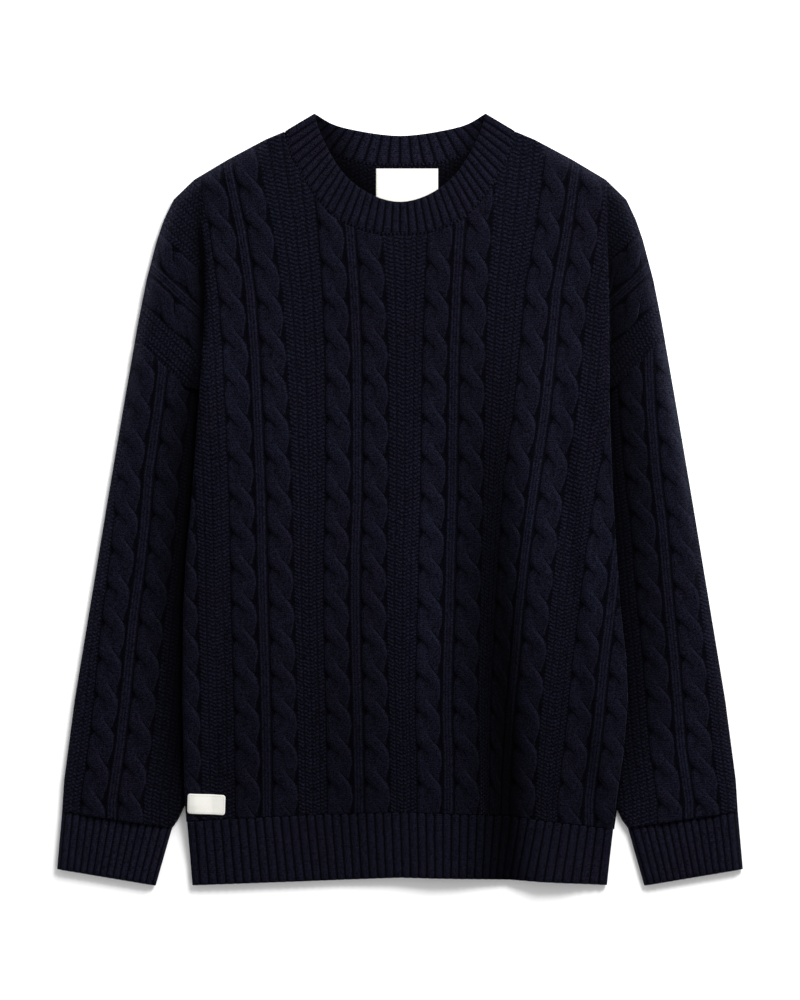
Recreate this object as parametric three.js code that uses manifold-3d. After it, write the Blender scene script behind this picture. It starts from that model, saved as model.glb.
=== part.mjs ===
import * as THREE from "three";
import * as BufferGeometryUtils from "three/addons/utils/BufferGeometryUtils.js";
import ManifoldModule from "manifold-3d";

// A cable knit sweater that lies flat on its back, in millimetres.
// +Y points to the neck, +X to the right as seen from above, +Z up, and the surface is z = 0.
// "half" is a distance from the middle line, the same on both sides.

const wasm = await ManifoldModule();
wasm.setup();

// Cloth
const WALL = 3.4;              // knit wall, without the raised stitches
const SEAM_GAP = 0.3;          // between pieces that are sewn together
const RIM = 1.0;               // thinnest edge of the front panel, at the side seam
const EDGE_ROLL = 7.5;         // width of the rounded side edge
const UNDER_ROLL = 4.0;        // width of the rounding below a side edge
const UNDER_STEPS = [
  { inward: 0, height: 2.6 },
  { inward: 1.2, height: 0.9 },
  { inward: UNDER_ROLL, height: 0 },
];
const SLIT = 0.5;              // air between the two walls of a sleeve or cuff
const SLEEVE_THICK = 2 * WALL + SLIT;
const FRONT_UNDER = WALL + SEAM_GAP;
const SLEEVE_CLEAR = 0.4;      // between a sleeve's top and the body that lies on it
const EDGE_STEPS = [0, 1.3, 4];           // lines that draw a rounded edge, measured in from it
const CREASE_WIDTH = 6;        // a cap's stitches fade out this far from the crease beside the chest
const SWELL_FADE = 40;         // folds fade out this far from the side edges
const SAME = 0.01;             // heights nearer than this are one row
const MERGE = 1e-4;            // corners nearer than this are one corner
const CUT_HEIGHT = 80;
const CUT_OVER = 40;

// Knit pattern, across one pair of cables
const RIB_HALF = 3.0;
const RIB_FOOT = 5.9;
const CABLE_CENTRE = 17.2;
const CABLE_HALF = 11.3;
const PAIR_HALF = CABLE_CENTRE + CABLE_HALF;
const RIB_HEIGHT = 1.6;
const TEXTURE_HEIGHT = 1.0;
const TEXTURE_STEP = 6.0;
const SQUEEZED_SHARE = 0.6;    // of the room between two pairs that the squeezed half of a pair takes
const STRAND_SWING = 5.4;
const STRAND_HALF = 6.1;
const STRAND_HEIGHT = 2.4;
const STRAND_LIFT = 0.9;
const SLEEVE_CREST = 2.4;
const SLEEVE_INNER_ROLL = 9;
const SLEEVE_INNER_LINES = [6, 1.5, 0];   // lines that draw the hidden edge, measured in from it
const SLEEVE_HIDDEN_LINE = 7.5;
const SLEEVE_TOP = 150;        // the sleeve is drawn up to here, then cut along the armhole
const SLEEVE_TILT_FADE = -190;
const SLEEVE_ROWS = [-286, -230, -160, -80, 0, 70, 150];
const SLEEVE_CROSSING = 33.2;  // length of one cable crossing on a sleeve
const SLEEVE_FIRST_CROSSING = -276;
const TUBE_MARGIN = 1.5;       // from the wall at a tube's edge to the air inside
const TUBE_PLACES = [0, 0.12, 0.35, 0.65, 0.88, 1];
const TUBE_FOOT = { inward: 1.2, height: 1 };

// Lengthwise lines of one pair of cables, and how often each gets a point, in cable crossings
const FINE = 0.25;
const HALF_CROSSING = 0.5;
const WHOLE_CROSSING = 1;
const PAIR_LINES = [
  { offset: -PAIR_HALF, step: HALF_CROSSING },
  { offset: -22.8, step: FINE },
  { offset: -CABLE_CENTRE, step: FINE },
  { offset: -11.6, step: FINE },
  { offset: -RIB_FOOT, step: HALF_CROSSING },
  { offset: -RIB_HALF, step: WHOLE_CROSSING },
  { offset: RIB_HALF, step: WHOLE_CROSSING },
  { offset: RIB_FOOT, step: HALF_CROSSING },
  { offset: 11.6, step: FINE },
  { offset: CABLE_CENTRE, step: FINE },
  { offset: 22.8, step: FINE },
  { offset: PAIR_HALF, step: HALF_CROSSING },
];
const LINE_SPACE = 0.8;        // between lines that meet at a folded edge

// Where the cables of the body cross: rows of y and the number of crossings above it
const CROSSINGS = [
  { y: 255.8, count: 0 },
  { y: 5.5, count: 7 },
  { y: -290, count: 16 },
];
const HEM_COURSE = 16;

// Outline of shoulder, cap, sleeve and cuff
const OUTLINE = [
  { y: 355.1, half: 78.2 },
  { y: 349.6, half: 89.7 },
  { y: 338.6, half: 106 },
  { y: 331.2, half: 123.7 },
  { y: 312.8, half: 158.2 },
  { y: 294.4, half: 189 },
  { y: 276, half: 208 },
  { y: 257.6, half: 216.7 },
  { y: 239.2, half: 223.1 },
  { y: 202.4, half: 232.8 },
  { y: 165.6, half: 240.1 },
  { y: 144.4, half: 243.9 },
  { y: 92, half: 253 },
  { y: 0, half: 268.6 },
  { y: -92, half: 283.8 },
  { y: -184, half: 299 },
  { y: -257.6, half: 308.7 },
  { y: -286, half: 310.5 },
  { y: -339, half: 315.1 },
];
const SHOULDER_NECK = { half: 106, y: 338.6 };

// Folded side edges of the body
const BODY_EDGES = [
  { y: 340, left: 183, right: 191 },
  { y: 245, left: 182.6, right: 190 },
  { y: 213, left: 179.7, right: 191 },
  { y: 172, left: 179.7, right: 192 },
  { y: 131, left: 181.7, right: 192 },
  { y: 88, left: 184.7, right: 192 },
  { y: 4, left: 190.9, right: 195.4 },
  { y: -49, left: 196, right: 198.7 },
  { y: -101, left: 198.9, right: 202.4 },
  { y: -145, left: 199.2, right: 207.5 },
  { y: -184, left: 199.4, right: 208.8 },
  { y: -230, left: 198.5, right: 205.2 },
  { y: -268, left: 197.8, right: 199.6 },
  { y: -303, left: 195, right: 195 },
  { y: -354, left: 190.4, right: 189.5 },
];

// Armhole seam, from the sleeve's outer edge to its hidden inner corner
const ARMHOLE = [
  { half: 246, y: 144.4 },
  { half: 236.4, y: 143.5 },
  { half: 219.9, y: 126 },
  { half: 209.8, y: 117.8 },
  { half: 197.8, y: 104 },
  { half: 184, y: 101 },
  { half: 158, y: 90 },
];
const ARMHOLE_INNER_FALL = 12;
const ARMHOLE_TIP = 101.2;
const ARMHOLE_TOP = 143.5;

// Heights of the rows of a shoulder cap
const CAP_ROWS = [ARMHOLE_TIP, 104, 110.5, 117.8, 126, 134.5, ARMHOLE_TOP];
const CAP_ROW_STEP = 8.6;
for (let y = 152; y < 296; y += CAP_ROW_STEP) CAP_ROWS.push(y);
const CAP_COLUMN_STEP = 5.2;
const CAP_LEAST_WIDTH = 3;

// Inner edge of the sleeve, hidden below the body down to y = -279
const SLEEVE_INNER = [
  { y: 150, half: 164 },
  { y: 74, half: 165.6 },
  { y: 0, half: 171 },
  { y: -92, half: 176.6 },
  { y: -184, half: 183 },
  { y: -239, half: 189.5 },
  { y: -279, half: 196.9 },
  { y: -294.4, half: 204.2 },
  { y: -300.8, half: 209 },
];

// Middle lines of the rib between the two cables of a pair, on the body
const BODY_RIBS = [
  { y: 330, E: -250, A: -163, B: -54, C: 61, D: 164, F: 252 },
  { y: 299, E: -245.6, A: -157.3, B: -50.6, C: 58, D: 160.1, F: 248.4 },
  { y: 243.8, E: -233.7, A: -145.5, B: -46, C: 54.3, D: 152.7, F: 241 },
  { y: 192.3, E: -226.3, A: -138, B: -42.3, C: 51.5, D: 143.5, F: 231.8 },
  { y: 130.6, E: -221.7, A: -133.4, B: -40, C: 49.3, D: 138, F: 226.3 },
  { y: 79.1, E: -219.4, A: -131.1, B: -39.6, C: 48.5, D: 132.5, F: 220.8 },
  { y: 3.7, E: -216.2, A: -128.1, B: -39.6, C: 47.6, D: 121.4, F: 207 },
  { y: -48.8, E: -214.8, A: -127.1, B: -41.4, C: 46, D: 114.1, F: 198.7 },
  { y: -101.2, E: -213.9, A: -126, B: -41.4, C: 44.9, D: 108.3, F: 192.6 },
  { y: -154.6, E: -212.5, A: -124.4, B: -40.5, C: 43.2, D: 104, F: 186.1 },
  { y: -198.7, E: -211.6, A: -123.3, B: -39, C: 42.7, D: 99.8, F: 182 },
  { y: -237.4, E: -211.1, A: -122.8, B: -38.5, C: 44.2, D: 97.1, F: 177.6 },
  { y: -276, E: -210.7, A: -122.4, B: -37.8, C: 44.2, D: 95.2, F: 173.1 },
];
const RIB_NAMES = ["E", "A", "B", "C", "D", "F"];

// Middle line of the rib on each sleeve
const SLEEVE_RIBS = [
  { y: 117.8, left: 218.4, right: 228.2 },
  { y: 81.9, left: 222.6, right: 230 },
  { y: 23.9, left: 230.9, right: 234.6 },
  { y: -24.8, left: 234.6, right: 240.7 },
  { y: -66.2, left: 239.2, right: 243.8 },
  { y: -106.7, left: 244.7, right: 247.5 },
  { y: -142.6, left: 248.4, right: 251.2 },
  { y: -182.2, left: 252.1, right: 254.4 },
  { y: -226.3, left: 257.1, right: 257.6 },
  { y: -276.9, left: 264.5, right: 265 },
];

// On a shoulder cap the pair of cables runs down towards the body
const CAP_RIB_START = { half: 227, y: 211.6 };
const CAP_RIB_END = { half: 182.6, y: 170.7 };

// How high the body's sides ride on the sleeves, and how much the knife pleat adds above a cap
const SIDE_LIFT = [
  { y: 152, lift: 0 },
  { y: 143.5, lift: 0.1 },
  { y: 117.8, lift: 0.8 },
  { y: 104, lift: 1 },
  { y: -262, lift: 1 },
  { y: -280, lift: 0.9 },
  { y: -300, lift: 0.5 },
  { y: -330, lift: 0 },
];
const PLEAT = [
  { y: 250, rise: 0 },
  { y: 225, rise: 2.6 },
  { y: 190, rise: 4.4 },
  { y: 150, rise: 5.0 },
  { y: 104, rise: 5.2 },
  { y: 40, rise: 1.6 },
  { y: -20, rise: 0 },
];
const LIFT_HEIGHT = SLEEVE_THICK + SLEEVE_CLEAR;
const LIFT_FLAT = -2;          // the lift ends this far outside the sleeve's inner edge
const LIFT_RAMP = 18;
const CAP_RAMP = 40;
const PLEAT_RAMP = 34;

// The deep valley fold: x of its floor, and the height of the swell on each side
const VALLEY = [
  { y: 30, x: 107, depth: 0 },
  { y: -20, x: 105, depth: 0.25 },
  { y: -60, x: 103.5, depth: 0.6 },
  { y: -100, x: 102, depth: 0.9 },
  { y: -184, x: 100, depth: 1 },
  { y: -360, x: 100, depth: 1 },
];
const VALLEY_PROFILE = [
  { across: -150, height: 0.4 },
  { across: -105, height: 2.5 },
  { across: -66, height: 6.0 },
  { across: -44, height: 5.0 },
  { across: -22, height: 2.0 },
  { across: 0, height: 0 },
  { across: 14, height: 3.8 },
  { across: 30, height: 8.0 },
  { across: 52, height: 6.0 },
  { across: 85, height: 1.5 },
  { across: 115, height: 0 },
];

// Broad soft swells of the front: middle, half sizes and height
const SWELLS = [
  { x: -115, y: 85, wide: 38, long: 90, height: 1.6 },
  { x: 136, y: 85, wide: 34, long: 60, height: 1.6 },
  { x: -112, y: -190, wide: 36, long: 110, height: 1.4 },
  { x: 0, y: 120, wide: 60, long: 90, height: 1.2 },
];

// Seam to the hem band, from side to side, and the band's lower edge
const HEM_SEAM = [
  { x: -200, y: -295.5 },
  { x: -100, y: -290 },
  { x: 0, y: -286.5 },
  { x: 100, y: -290 },
  { x: 200, y: -302.7 },
];
const HEM_EDGE = [
  { x: -200, y: -354.2 },
  { x: -100, y: -350.5 },
  { x: 0, y: -346.5 },
  { x: 100, y: -348.5 },
  { x: 200, y: -354.2 },
];
const HEM_COURSE_Y = -290;
const HEM_BEND_FADE = -110;
const HEM_RIBS = 48;
const HEM_RIB_HEIGHT = 1.6;
const HEM_EDGE_DROP = 1.4;
const HEM_SIDE_TOP = -298;
const HEM_LEAN = [
  { top: -200, bottom: -190.4 },
  { top: -147, bottom: -145 },
  { top: 28, bottom: 29 },
  { top: 99, bottom: 99 },
  { top: 133, bottom: 122 },
  { top: 200, bottom: 189.5 },
];

// Cuffs, from seam to edge
const CUFF_SEAM = { outerY: -286, innerY: -300.8 };
const CUFF_EDGE = { outerY: -339, innerY: -354.2 };
const CUFF_TOP = { outer: 310.5, inner: 209.3 };
const CUFF_BOTTOM = { outer: 315.1, inner: 224.5 };
const CUFF_SIDES = [
  { y: -286, outer: 310.5, inner: 206 },
  { y: -300.8, outer: 311.8, inner: 209.3 },
  { y: -339, outer: 315.1, inner: 220 },
  { y: -354.2, outer: 316.4, inner: 224.5 },
];
const CUFF_RIBS = 14;
const CUFF_RIB_HEIGHT = 1.5;
const CUFF_EDGE_DROP = 1.4;
const CUFF_EDGE_PLACES = [0, 0.012, 0.035];              // shares of the cuff's width, from each side
const CUFF_ROWS = { top: [1, 0.94, 0.5, 0], bottom: [1, 0.5, 0] };
const CUFF_BOTTOM_PLACES = [0.012, 0.045, 0.5, 0.955, 0.988];

// Neckband curves, one side, from the shoulder to the middle
const FRONT_NECK_SEAM = [
  { half: 106, y: 338.6 },
  { half: 104, y: 323.8 },
  { half: 96, y: 307.3 },
  { half: 84, y: 287 },
  { half: 64.4, y: 262.2 },
  { half: 47.6, y: 252.1 },
  { half: 22, y: 243.8 },
  { half: 0, y: 242.8 },
];
const FRONT_NECK_EDGE = [
  { half: 78.2, y: 355.1 },
  { half: 75, y: 342.2 },
  { half: 59, y: 310 },
  { half: 43.2, y: 291.6 },
  { half: 21.2, y: 278.3 },
  { half: 0, y: 273.8 },
];
const BACK_NECK_SEAM = [
  { half: 106, y: 338.6 },
  { half: 57, y: 315.1 },
  { half: 36.8, y: 309.1 },
  { half: 0, y: 306.7 },
];
const BACK_NECK_EDGE = [
  { half: 78.2, y: 355.1 },
  { half: 62.6, y: 345.9 },
  { half: 43.2, y: 340.4 },
  { half: 0, y: 334.9 },
];
const FRONT_NECK_RIBS = 38;
const BACK_NECK_RIBS = 20;
const NECK_RIB_HEIGHT = 1.4;
const NECK_BAND_THICK = 3.4;
const NECK_SECTION = [         // from the seam (0) to the open edge (1), in band and rib heights
  { across: 0, thick: 1, rib: 0.4 },
  { across: 0.15, thick: 1, rib: 1 },
  { across: 0.85, thick: 1, rib: 1 },
  { across: 1, thick: 0.5, rib: 0 },
  { across: 0.9, thick: 0, rib: 0 },
  { across: 0, thick: 0, rib: 0 },
];
const OPEN_NECK = { half: 58, frontFade: 16, backFade: 8 };   // where the front band hangs over the back
const LABEL_ROOM = 1.5;
const BAND_CLEAR = 0.05;
const BACK_RIB_SHARE = 0.85;

// Labels
const LABEL_THICK = 0.8;
const NECK_LABEL_BOW = 1.5;
const NECK_LABEL = { left: -22, right: 35, top: 304.5, bottom: 271.5 };
const PATCH_CORNERS = {
  lowLeft: { x: -194.5, y: -287 },
  lowRight: { x: -159.8, y: -289.6 },
  highLeft: { x: -195, y: -269.2 },
  highRight: { x: -161.2, y: -270.6 },
};
const PATCH_CLEAR = 0.5;
const PATCH_PLACES = [0, 0.04, 0.09, 0.18, 0.36, 0.53, 1];
const LABEL_PLACES = [0, 0.25, 0.5, 0.75, 1];
const LABEL_ROWS = [0, 0.5, 1];
const PATCH_FLAT = { beside: 8, above: 18 };   // the knit is pressed flat this far around it

// Colours and finishes
const NAVY_WOOL = new THREE.MeshStandardMaterial({ color: 0x14141f, roughness: 0.95, metalness: 0 });
const NAVY_RIB = new THREE.MeshStandardMaterial({ color: 0x12121c, roughness: 0.95, metalness: 0 });
const LABEL_CLOTH = new THREE.MeshStandardMaterial({ color: 0xe8e9e4, roughness: 0.8, metalness: 0 });

// Reads a table by straight lines between its rows, in either order of its key column
function read(table, keyName, key, valueName) {
  const falling = table[0][keyName] > table[table.length - 1][keyName];
  const rows = falling ? [...table].reverse() : table;
  if (key <= rows[0][keyName]) return rows[0][valueName];
  for (let i = 1; i < rows.length; i++) {
    if (key <= rows[i][keyName]) {
      const share = (key - rows[i - 1][keyName]) / (rows[i][keyName] - rows[i - 1][keyName]);
      return rows[i - 1][valueName] + share * (rows[i][valueName] - rows[i - 1][valueName]);
    }
  }
  return rows[rows.length - 1][valueName];
}

const clamp = (value, low, high) => Math.min(Math.max(value, low), high);
const lerp = (from, to, share) => from + (to - from) * share;

function smooth(share) {
  const s = clamp(share, 0, 1);
  return s * s * (3 - 2 * s);
}

// Quarter ellipse: 0 at the edge, 1 one roll width further in
function roll(distance, width) {
  const left = 1 - clamp(distance / width, 0, 1);
  return Math.sqrt(1 - left * left);
}

// Number of cable crossings above a height on the body, and the height of a count
function crossingsAt(y) {
  const [top, middle, low] = CROSSINGS;
  const upper = y > middle.y;
  const a = upper ? top : middle;
  const b = upper ? middle : low;
  return a.count + (a.y - y) * (b.count - a.count) / (a.y - b.y);
}

function heightOfCrossing(count) {
  const [top, middle, low] = CROSSINGS;
  const upper = count < middle.count;
  const a = upper ? top : middle;
  const b = upper ? middle : low;
  return a.y - (count - a.count) * (a.y - b.y) / (b.count - a.count);
}

// Two strands that cross in front of each other, always from upper left to lower right
function cableHeight(across, turns) {
  let height = 0;
  for (const strand of [0, 1]) {
    const angle = Math.PI * (turns + strand - 0.5);
    const middle = -STRAND_SWING * Math.cos(angle);
    const reach = (across - middle) / STRAND_HALF;
    if (Math.abs(reach) < 1) {
      const top = STRAND_LIFT * Math.sin(angle) + STRAND_HEIGHT * Math.sqrt(1 - reach * reach);
      height = Math.max(height, top);
    }
  }
  return height;
}

// Height of the stitches at a distance from a rib line, inside a pair of cables or in the texture beside it
function pairHeight(offset, turns) {
  const away = Math.abs(offset);
  if (away <= RIB_FOOT) return RIB_HEIGHT * clamp((RIB_FOOT - away) / (RIB_FOOT - RIB_HALF), 0, 1);
  if (away <= PAIR_HALF) return cableHeight(offset - Math.sign(offset) * CABLE_CENTRE, turns);
  return TEXTURE_HEIGHT * smooth((away - PAIR_HALF) / TEXTURE_STEP);
}

// Where a point of a pair of cables lies on the body: the fold's steep bank squeezes the left half of D
function pairPlace(name, y, offset) {
  const rib = read(BODY_RIBS, "y", y, name);
  if (name !== "D" || offset >= 0) return rib + offset;
  const room = rib - read(BODY_RIBS, "y", y, "C") - PAIR_HALF;
  return rib + offset * Math.min(1, room * SQUEEZED_SHARE / PAIR_HALF);
}

function bodyRelief(x, y) {
  let away = TEXTURE_STEP;
  for (const name of RIB_NAMES) {
    const rib = pairPlace(name, y, 0);
    const reach = Math.abs(pairPlace(name, y, x < rib ? -PAIR_HALF : PAIR_HALF) - rib);
    const offset = (x - rib) * PAIR_HALF / reach;
    if (Math.abs(offset) <= PAIR_HALF) return pairHeight(offset, crossingsAt(y));
    away = Math.min(away, Math.abs(x - rib) - reach);
  }
  return TEXTURE_HEIGHT * smooth(away / TEXTURE_STEP);
}

function capRelief(half, y) {
  const along = new THREE.Vector2(CAP_RIB_END.half - CAP_RIB_START.half, CAP_RIB_END.y - CAP_RIB_START.y);
  along.normalize();
  const fromStart = new THREE.Vector2(half - CAP_RIB_START.half, y - CAP_RIB_START.y);
  return pairHeight(along.cross(fromStart), along.dot(fromStart) / SLEEVE_CROSSING);
}

const sideName = (side) => (side < 0 ? "left" : "right");
const bodyEdge = (side, y) => read(BODY_EDGES, "y", y, sideName(side));
const outlineHalf = (y) => read(OUTLINE, "y", y, "half");
const sleeveInner = (y) => read(SLEEVE_INNER, "y", y, "half");
const armholeHalf = (y) => read(ARMHOLE, "y", y, "half");

// Height of the shoulder line above a point
function shoulderY(x) {
  const half = Math.abs(x);
  if (half <= SHOULDER_NECK.half) return SHOULDER_NECK.y;
  return read(OUTLINE.filter((row) => row.y <= SHOULDER_NECK.y && row.y > 0), "half", half, "y");
}

// The side of the body is lifted by the sleeve that passes below it
function sideLift(x, y) {
  const side = Math.sign(x) || 1;
  const half = Math.abs(x);
  const share = read(SIDE_LIFT, "y", y, "lift");
  const edge = bodyEdge(side, y);
  if (half > edge) return LIFT_HEIGHT * share * (1 - smooth((half - edge) / CAP_RAMP));
  const flatEnd = Math.min(sleeveInner(y) + LIFT_FLAT, edge - EDGE_ROLL);
  return LIFT_HEIGHT * share * (1 - smooth((flatEnd - half) / LIFT_RAMP));
}

// Layers of the knife pleat at the side of the chest
function pleatRise(x, y) {
  const side = Math.sign(x) || 1;
  const half = Math.abs(x);
  const edge = bodyEdge(side, y);
  if (half > edge) return 0;
  return read(PLEAT, "y", y, "rise") * (1 - smooth((edge - half) / PLEAT_RAMP));
}

// Folds of the front that leave air below them
function swell(x, y) {
  const across = x - read(VALLEY, "y", y, "x");
  let height = read(VALLEY_PROFILE, "across", across, "height") * read(VALLEY, "y", y, "depth");
  for (const fold of SWELLS) {
    const reach = Math.hypot((x - fold.x) / fold.wide, (y - fold.y) / fold.long);
    height += fold.height * (1 - smooth(reach));
  }
  const side = Math.sign(x) || 1;
  return height * smooth((bodyEdge(side, y) - Math.abs(x)) / SWELL_FADE);
}

const frontUnder = (x, y) => FRONT_UNDER + sideLift(x, y) + swell(x, y);

// Outer face of a shoulder cap
function capTop(x, y) {
  const half = Math.abs(x);
  const fade = roll(outlineHalf(y) - half, EDGE_ROLL);
  const crease = smooth((half - bodyEdge(Math.sign(x), y)) / CREASE_WIDTH);
  const low = frontUnder(x, y) + RIM;
  return low + (WALL - RIM + capRelief(half, y) * crease) * fade;
}

// Outer face of the front between its side edges
function chestTop(x, y) {
  const side = Math.sign(x) || 1;
  const edge = bodyEdge(side, y);
  const inward = edge - Math.abs(x);
  const thin = frontUnder(x, y) + RIM;
  const low = y <= ARMHOLE_TIP ? thin : capTop(side * edge, y);
  const full = frontUnder(x, y) + WALL + pleatRise(x, y) + bodyRelief(x, y) * patchFlat(x, y);
  const rolled = low + (full - low) * roll(inward, EDGE_ROLL);
  return thin + (rolled - thin) * roll(shoulderY(x) - y, EDGE_ROLL);
}

// The knit is pressed down where the small patch is sewn on
function patchFlat(x, y) {
  const { lowRight, highRight } = PATCH_CORNERS;
  const inside = x < lowRight.x + PATCH_FLAT.beside && y < highRight.y + PATCH_FLAT.above;
  return inside ? 0 : 1;
}

// Joins two lines of points with triangles that face up where "left" lies left of "right"
function zip(left, right, measure, triangles) {
  let i = 0;
  let j = 0;
  while (i < left.length - 1 || j < right.length - 1) {
    const leftNext = i < left.length - 1 ? measure(left, i + 1) : Infinity;
    const rightNext = j < right.length - 1 ? measure(right, j + 1) : Infinity;
    if (leftNext <= rightNext) {
      triangles.push([left[i], right[j], left[i + 1]]);
      i += 1;
    } else {
      triangles.push([left[i], right[j], right[j + 1]]);
      j += 1;
    }
  }
}

const byY = (line, index) => line[index].y;
const byX = (line, index) => line[index].x;

function byWidth(line, index) {
  const width = line[line.length - 1].x - line[0].x;
  return (line[index].x - line[0].x) / Math.max(width, MERGE);
}

// Share of a line's length seen from above, up to one of its points
function byLength(line, index) {
  let done = 0;
  let whole = 0;
  for (let i = 1; i < line.length; i++) {
    const piece = Math.hypot(line[i].x - line[i - 1].x, line[i].y - line[i - 1].y);
    whole += piece;
    if (i <= index) done += piece;
  }
  return whole > 0 ? done / whole : index / Math.max(line.length - 1, 1);
}

const flipped = (triangles) => triangles.map(([a, b, c]) => [a, c, b]);

// A solid from triangles whose corners meet
function geometryOf(triangles) {
  const numbers = triangles.flatMap((triangle) => triangle.flatMap((p) => [p.x, p.y, p.z]));
  const loose = new THREE.BufferGeometry();
  loose.setAttribute("position", new THREE.Float32BufferAttribute(numbers, 3));
  const merged = BufferGeometryUtils.mergeVertices(loose, MERGE);
  const kept = [];
  const index = merged.index.array;
  for (let i = 0; i < index.length; i += 3) {
    const [a, b, c] = [index[i], index[i + 1], index[i + 2]];
    if (a !== b && b !== c && c !== a) kept.push(a, b, c);
  }
  merged.setIndex(kept);
  return merged;
}

function toManifold(geometry) {
  return new wasm.Manifold(new wasm.Mesh({
    numProp: 3,
    vertProperties: new Float32Array(geometry.attributes.position.array),
    triVerts: new Uint32Array(geometry.index.array),
  }));
}

function fromManifold(solid) {
  const mesh = solid.getMesh();
  const geometry = new THREE.BufferGeometry();
  geometry.setAttribute("position", new THREE.Float32BufferAttribute(mesh.vertProperties, 3));
  geometry.setIndex(Array.from(mesh.triVerts));
  return geometry;
}

// A tall straight-sided block over a closed outline, to cut with
function prism(points) {
  const shape = new THREE.Shape(points.map((p) => new THREE.Vector2(p.x, p.y)));
  const straight = { depth: CUT_HEIGHT, bevelEnabled: false, curveSegments: 1 };
  const block = new THREE.ExtrudeGeometry(shape, straight);
  block.translate(0, 0, -CUT_HEIGHT / 2);
  block.deleteAttribute("normal");
  block.deleteAttribute("uv");
  return toManifold(BufferGeometryUtils.mergeVertices(block, MERGE));
}

const hemSeam = (x) => read(HEM_SEAM, "x", x, "y");
const hemEdge = (x) => read(HEM_EDGE, "x", x, "y");

// Courses of the knit bend down to the hem seam
function bentY(x, y) {
  const share = smooth((HEM_BEND_FADE - y) / (HEM_BEND_FADE - HEM_COURSE_Y));
  return y + (hemSeam(x) - HEM_COURSE_Y) * share;
}

// Rows below the shoulder line that draw its rounding, and room kept clear for the rows there
const TOP_ROWS = [4.5, 1.5];
const TOP_CLEAR = 7;
const TIP_CLEAR = 4;
const ROUNDS = 20;             // enough for a line to settle on the shoulder

// One line of the front from hem to shoulder, with a point for every step of a crossing
function frontLine(xAt, stepAt, zAt, extraRows) {
  const line = [];
  const place = (y) => {
    let x = xAt(y);
    let bent = bentY(x, y);
    x = xAt(bent);
    bent = bentY(x, y);
    line.push(new THREE.Vector3(x, bent, zAt(x, bent)));
  };
  place(HEM_COURSE_Y);
  let top = SHOULDER_NECK.y;
  for (let round = 0; round < ROUNDS; round++) top = lerp(top, shoulderY(xAt(top)), 0.7);
  for (let step = 1; ; step++) {
    const y = heightOfCrossing(HEM_COURSE - step * FINE);
    if (y > top - TOP_CLEAR || (extraRows && y > ARMHOLE_TIP - TIP_CLEAR)) break;
    if ((step * FINE) % stepAt(y) === 0) place(y);
  }
  const rows = [...(extraRows ?? TOP_ROWS.map((below) => top - below)), top];
  for (const y of rows.filter((row) => row === top || row < top - 1)) {
    const x = xAt(y);
    line.push(new THREE.Vector3(x, y, zAt(x, y)));
  }
  return line;
}

// Lines across the front, from the left edge to the right edge
function frontLines() {
  const wanted = [];
  RIB_NAMES.forEach((name, pair) => {
    for (const { offset, step } of PAIR_LINES) {
      const leftmost = name === "E" && offset < RIB_FOOT;
      const rightmost = name === "F" && offset > CABLE_CENTRE;
      if (!leftmost && !rightmost) wanted.push({ place: (y) => pairPlace(name, y, offset), step });
    }
    const next = RIB_NAMES[pair + 1];
    for (const share of next ? [0, 1] : []) {
      const place = (y) => {
        const from = pairPlace(name, y, PAIR_HALF);
        const to = pairPlace(next, y, -PAIR_HALF);
        const step = Math.min(TEXTURE_STEP, (to - from) / 3);
        return lerp(from + step, to - step, share);
      };
      wanted.push({ place, step: WHOLE_CROSSING });
    }
  });
  const lines = wanted.map(({ place: free, step }, index) => {
    const low = (y) => -bodyEdge(-1, y) + EDGE_ROLL + LINE_SPACE * index;
    const high = (y) => bodyEdge(1, y) - EDGE_ROLL - LINE_SPACE * (wanted.length - 1 - index);
    const stepAt = (y) => (free(y) < low(y) || free(y) > high(y) ? WHOLE_CROSSING : step);
    return frontLine((y) => clamp(free(y), low(y), high(y)), stepAt, chestTop);
  });
  const edgeLine = (side, inward) => frontLine(
    (y) => side * (bodyEdge(side, y) - inward),
    () => HALF_CROSSING,
    chestTop,
    inward === 0 ? CAP_ROWS : undefined,
  );
  return [
    ...EDGE_STEPS.map((inward) => edgeLine(-1, inward)),
    ...lines,
    ...[...EDGE_STEPS].reverse().map((inward) => edgeLine(1, inward)),
  ];
}

// Rows of a shoulder cap, from the outline or armhole in to the crease line of the chest
function capRows(side, creaseLine) {
  const rows = [];
  for (const point of creaseLine) {
    if (point.y < ARMHOLE_TIP - SAME) continue;
    const row = [point];
    const crease = Math.abs(point.x);
    const besideSleeve = point.y <= ARMHOLE_TOP + SAME;
    const outer = besideSleeve ? armholeHalf(point.y) : outlineHalf(point.y);
    if (point.y > ARMHOLE_TIP + SAME && point !== creaseLine[creaseLine.length - 1]) {
      const halves = [];
      for (const inward of besideSleeve ? [0] : EDGE_STEPS) {
        if (outer - inward > crease + CAP_LEAST_WIDTH) halves.push(outer - inward);
      }
      const start = halves.length > 0 ? halves[halves.length - 1] : outer;
      if (halves.length === 0) halves.push(outer);
      const count = Math.max(1, Math.round((start - crease) / CAP_COLUMN_STEP));
      for (let i = 1; i < count; i++) halves.push(lerp(start, crease, i / count));
      for (const half of [...halves].reverse()) {
        row.push(new THREE.Vector3(side * half, point.y, capTop(side * half, point.y)));
      }
    }
    rows.push(row);
  }
  return rows;
}

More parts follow.
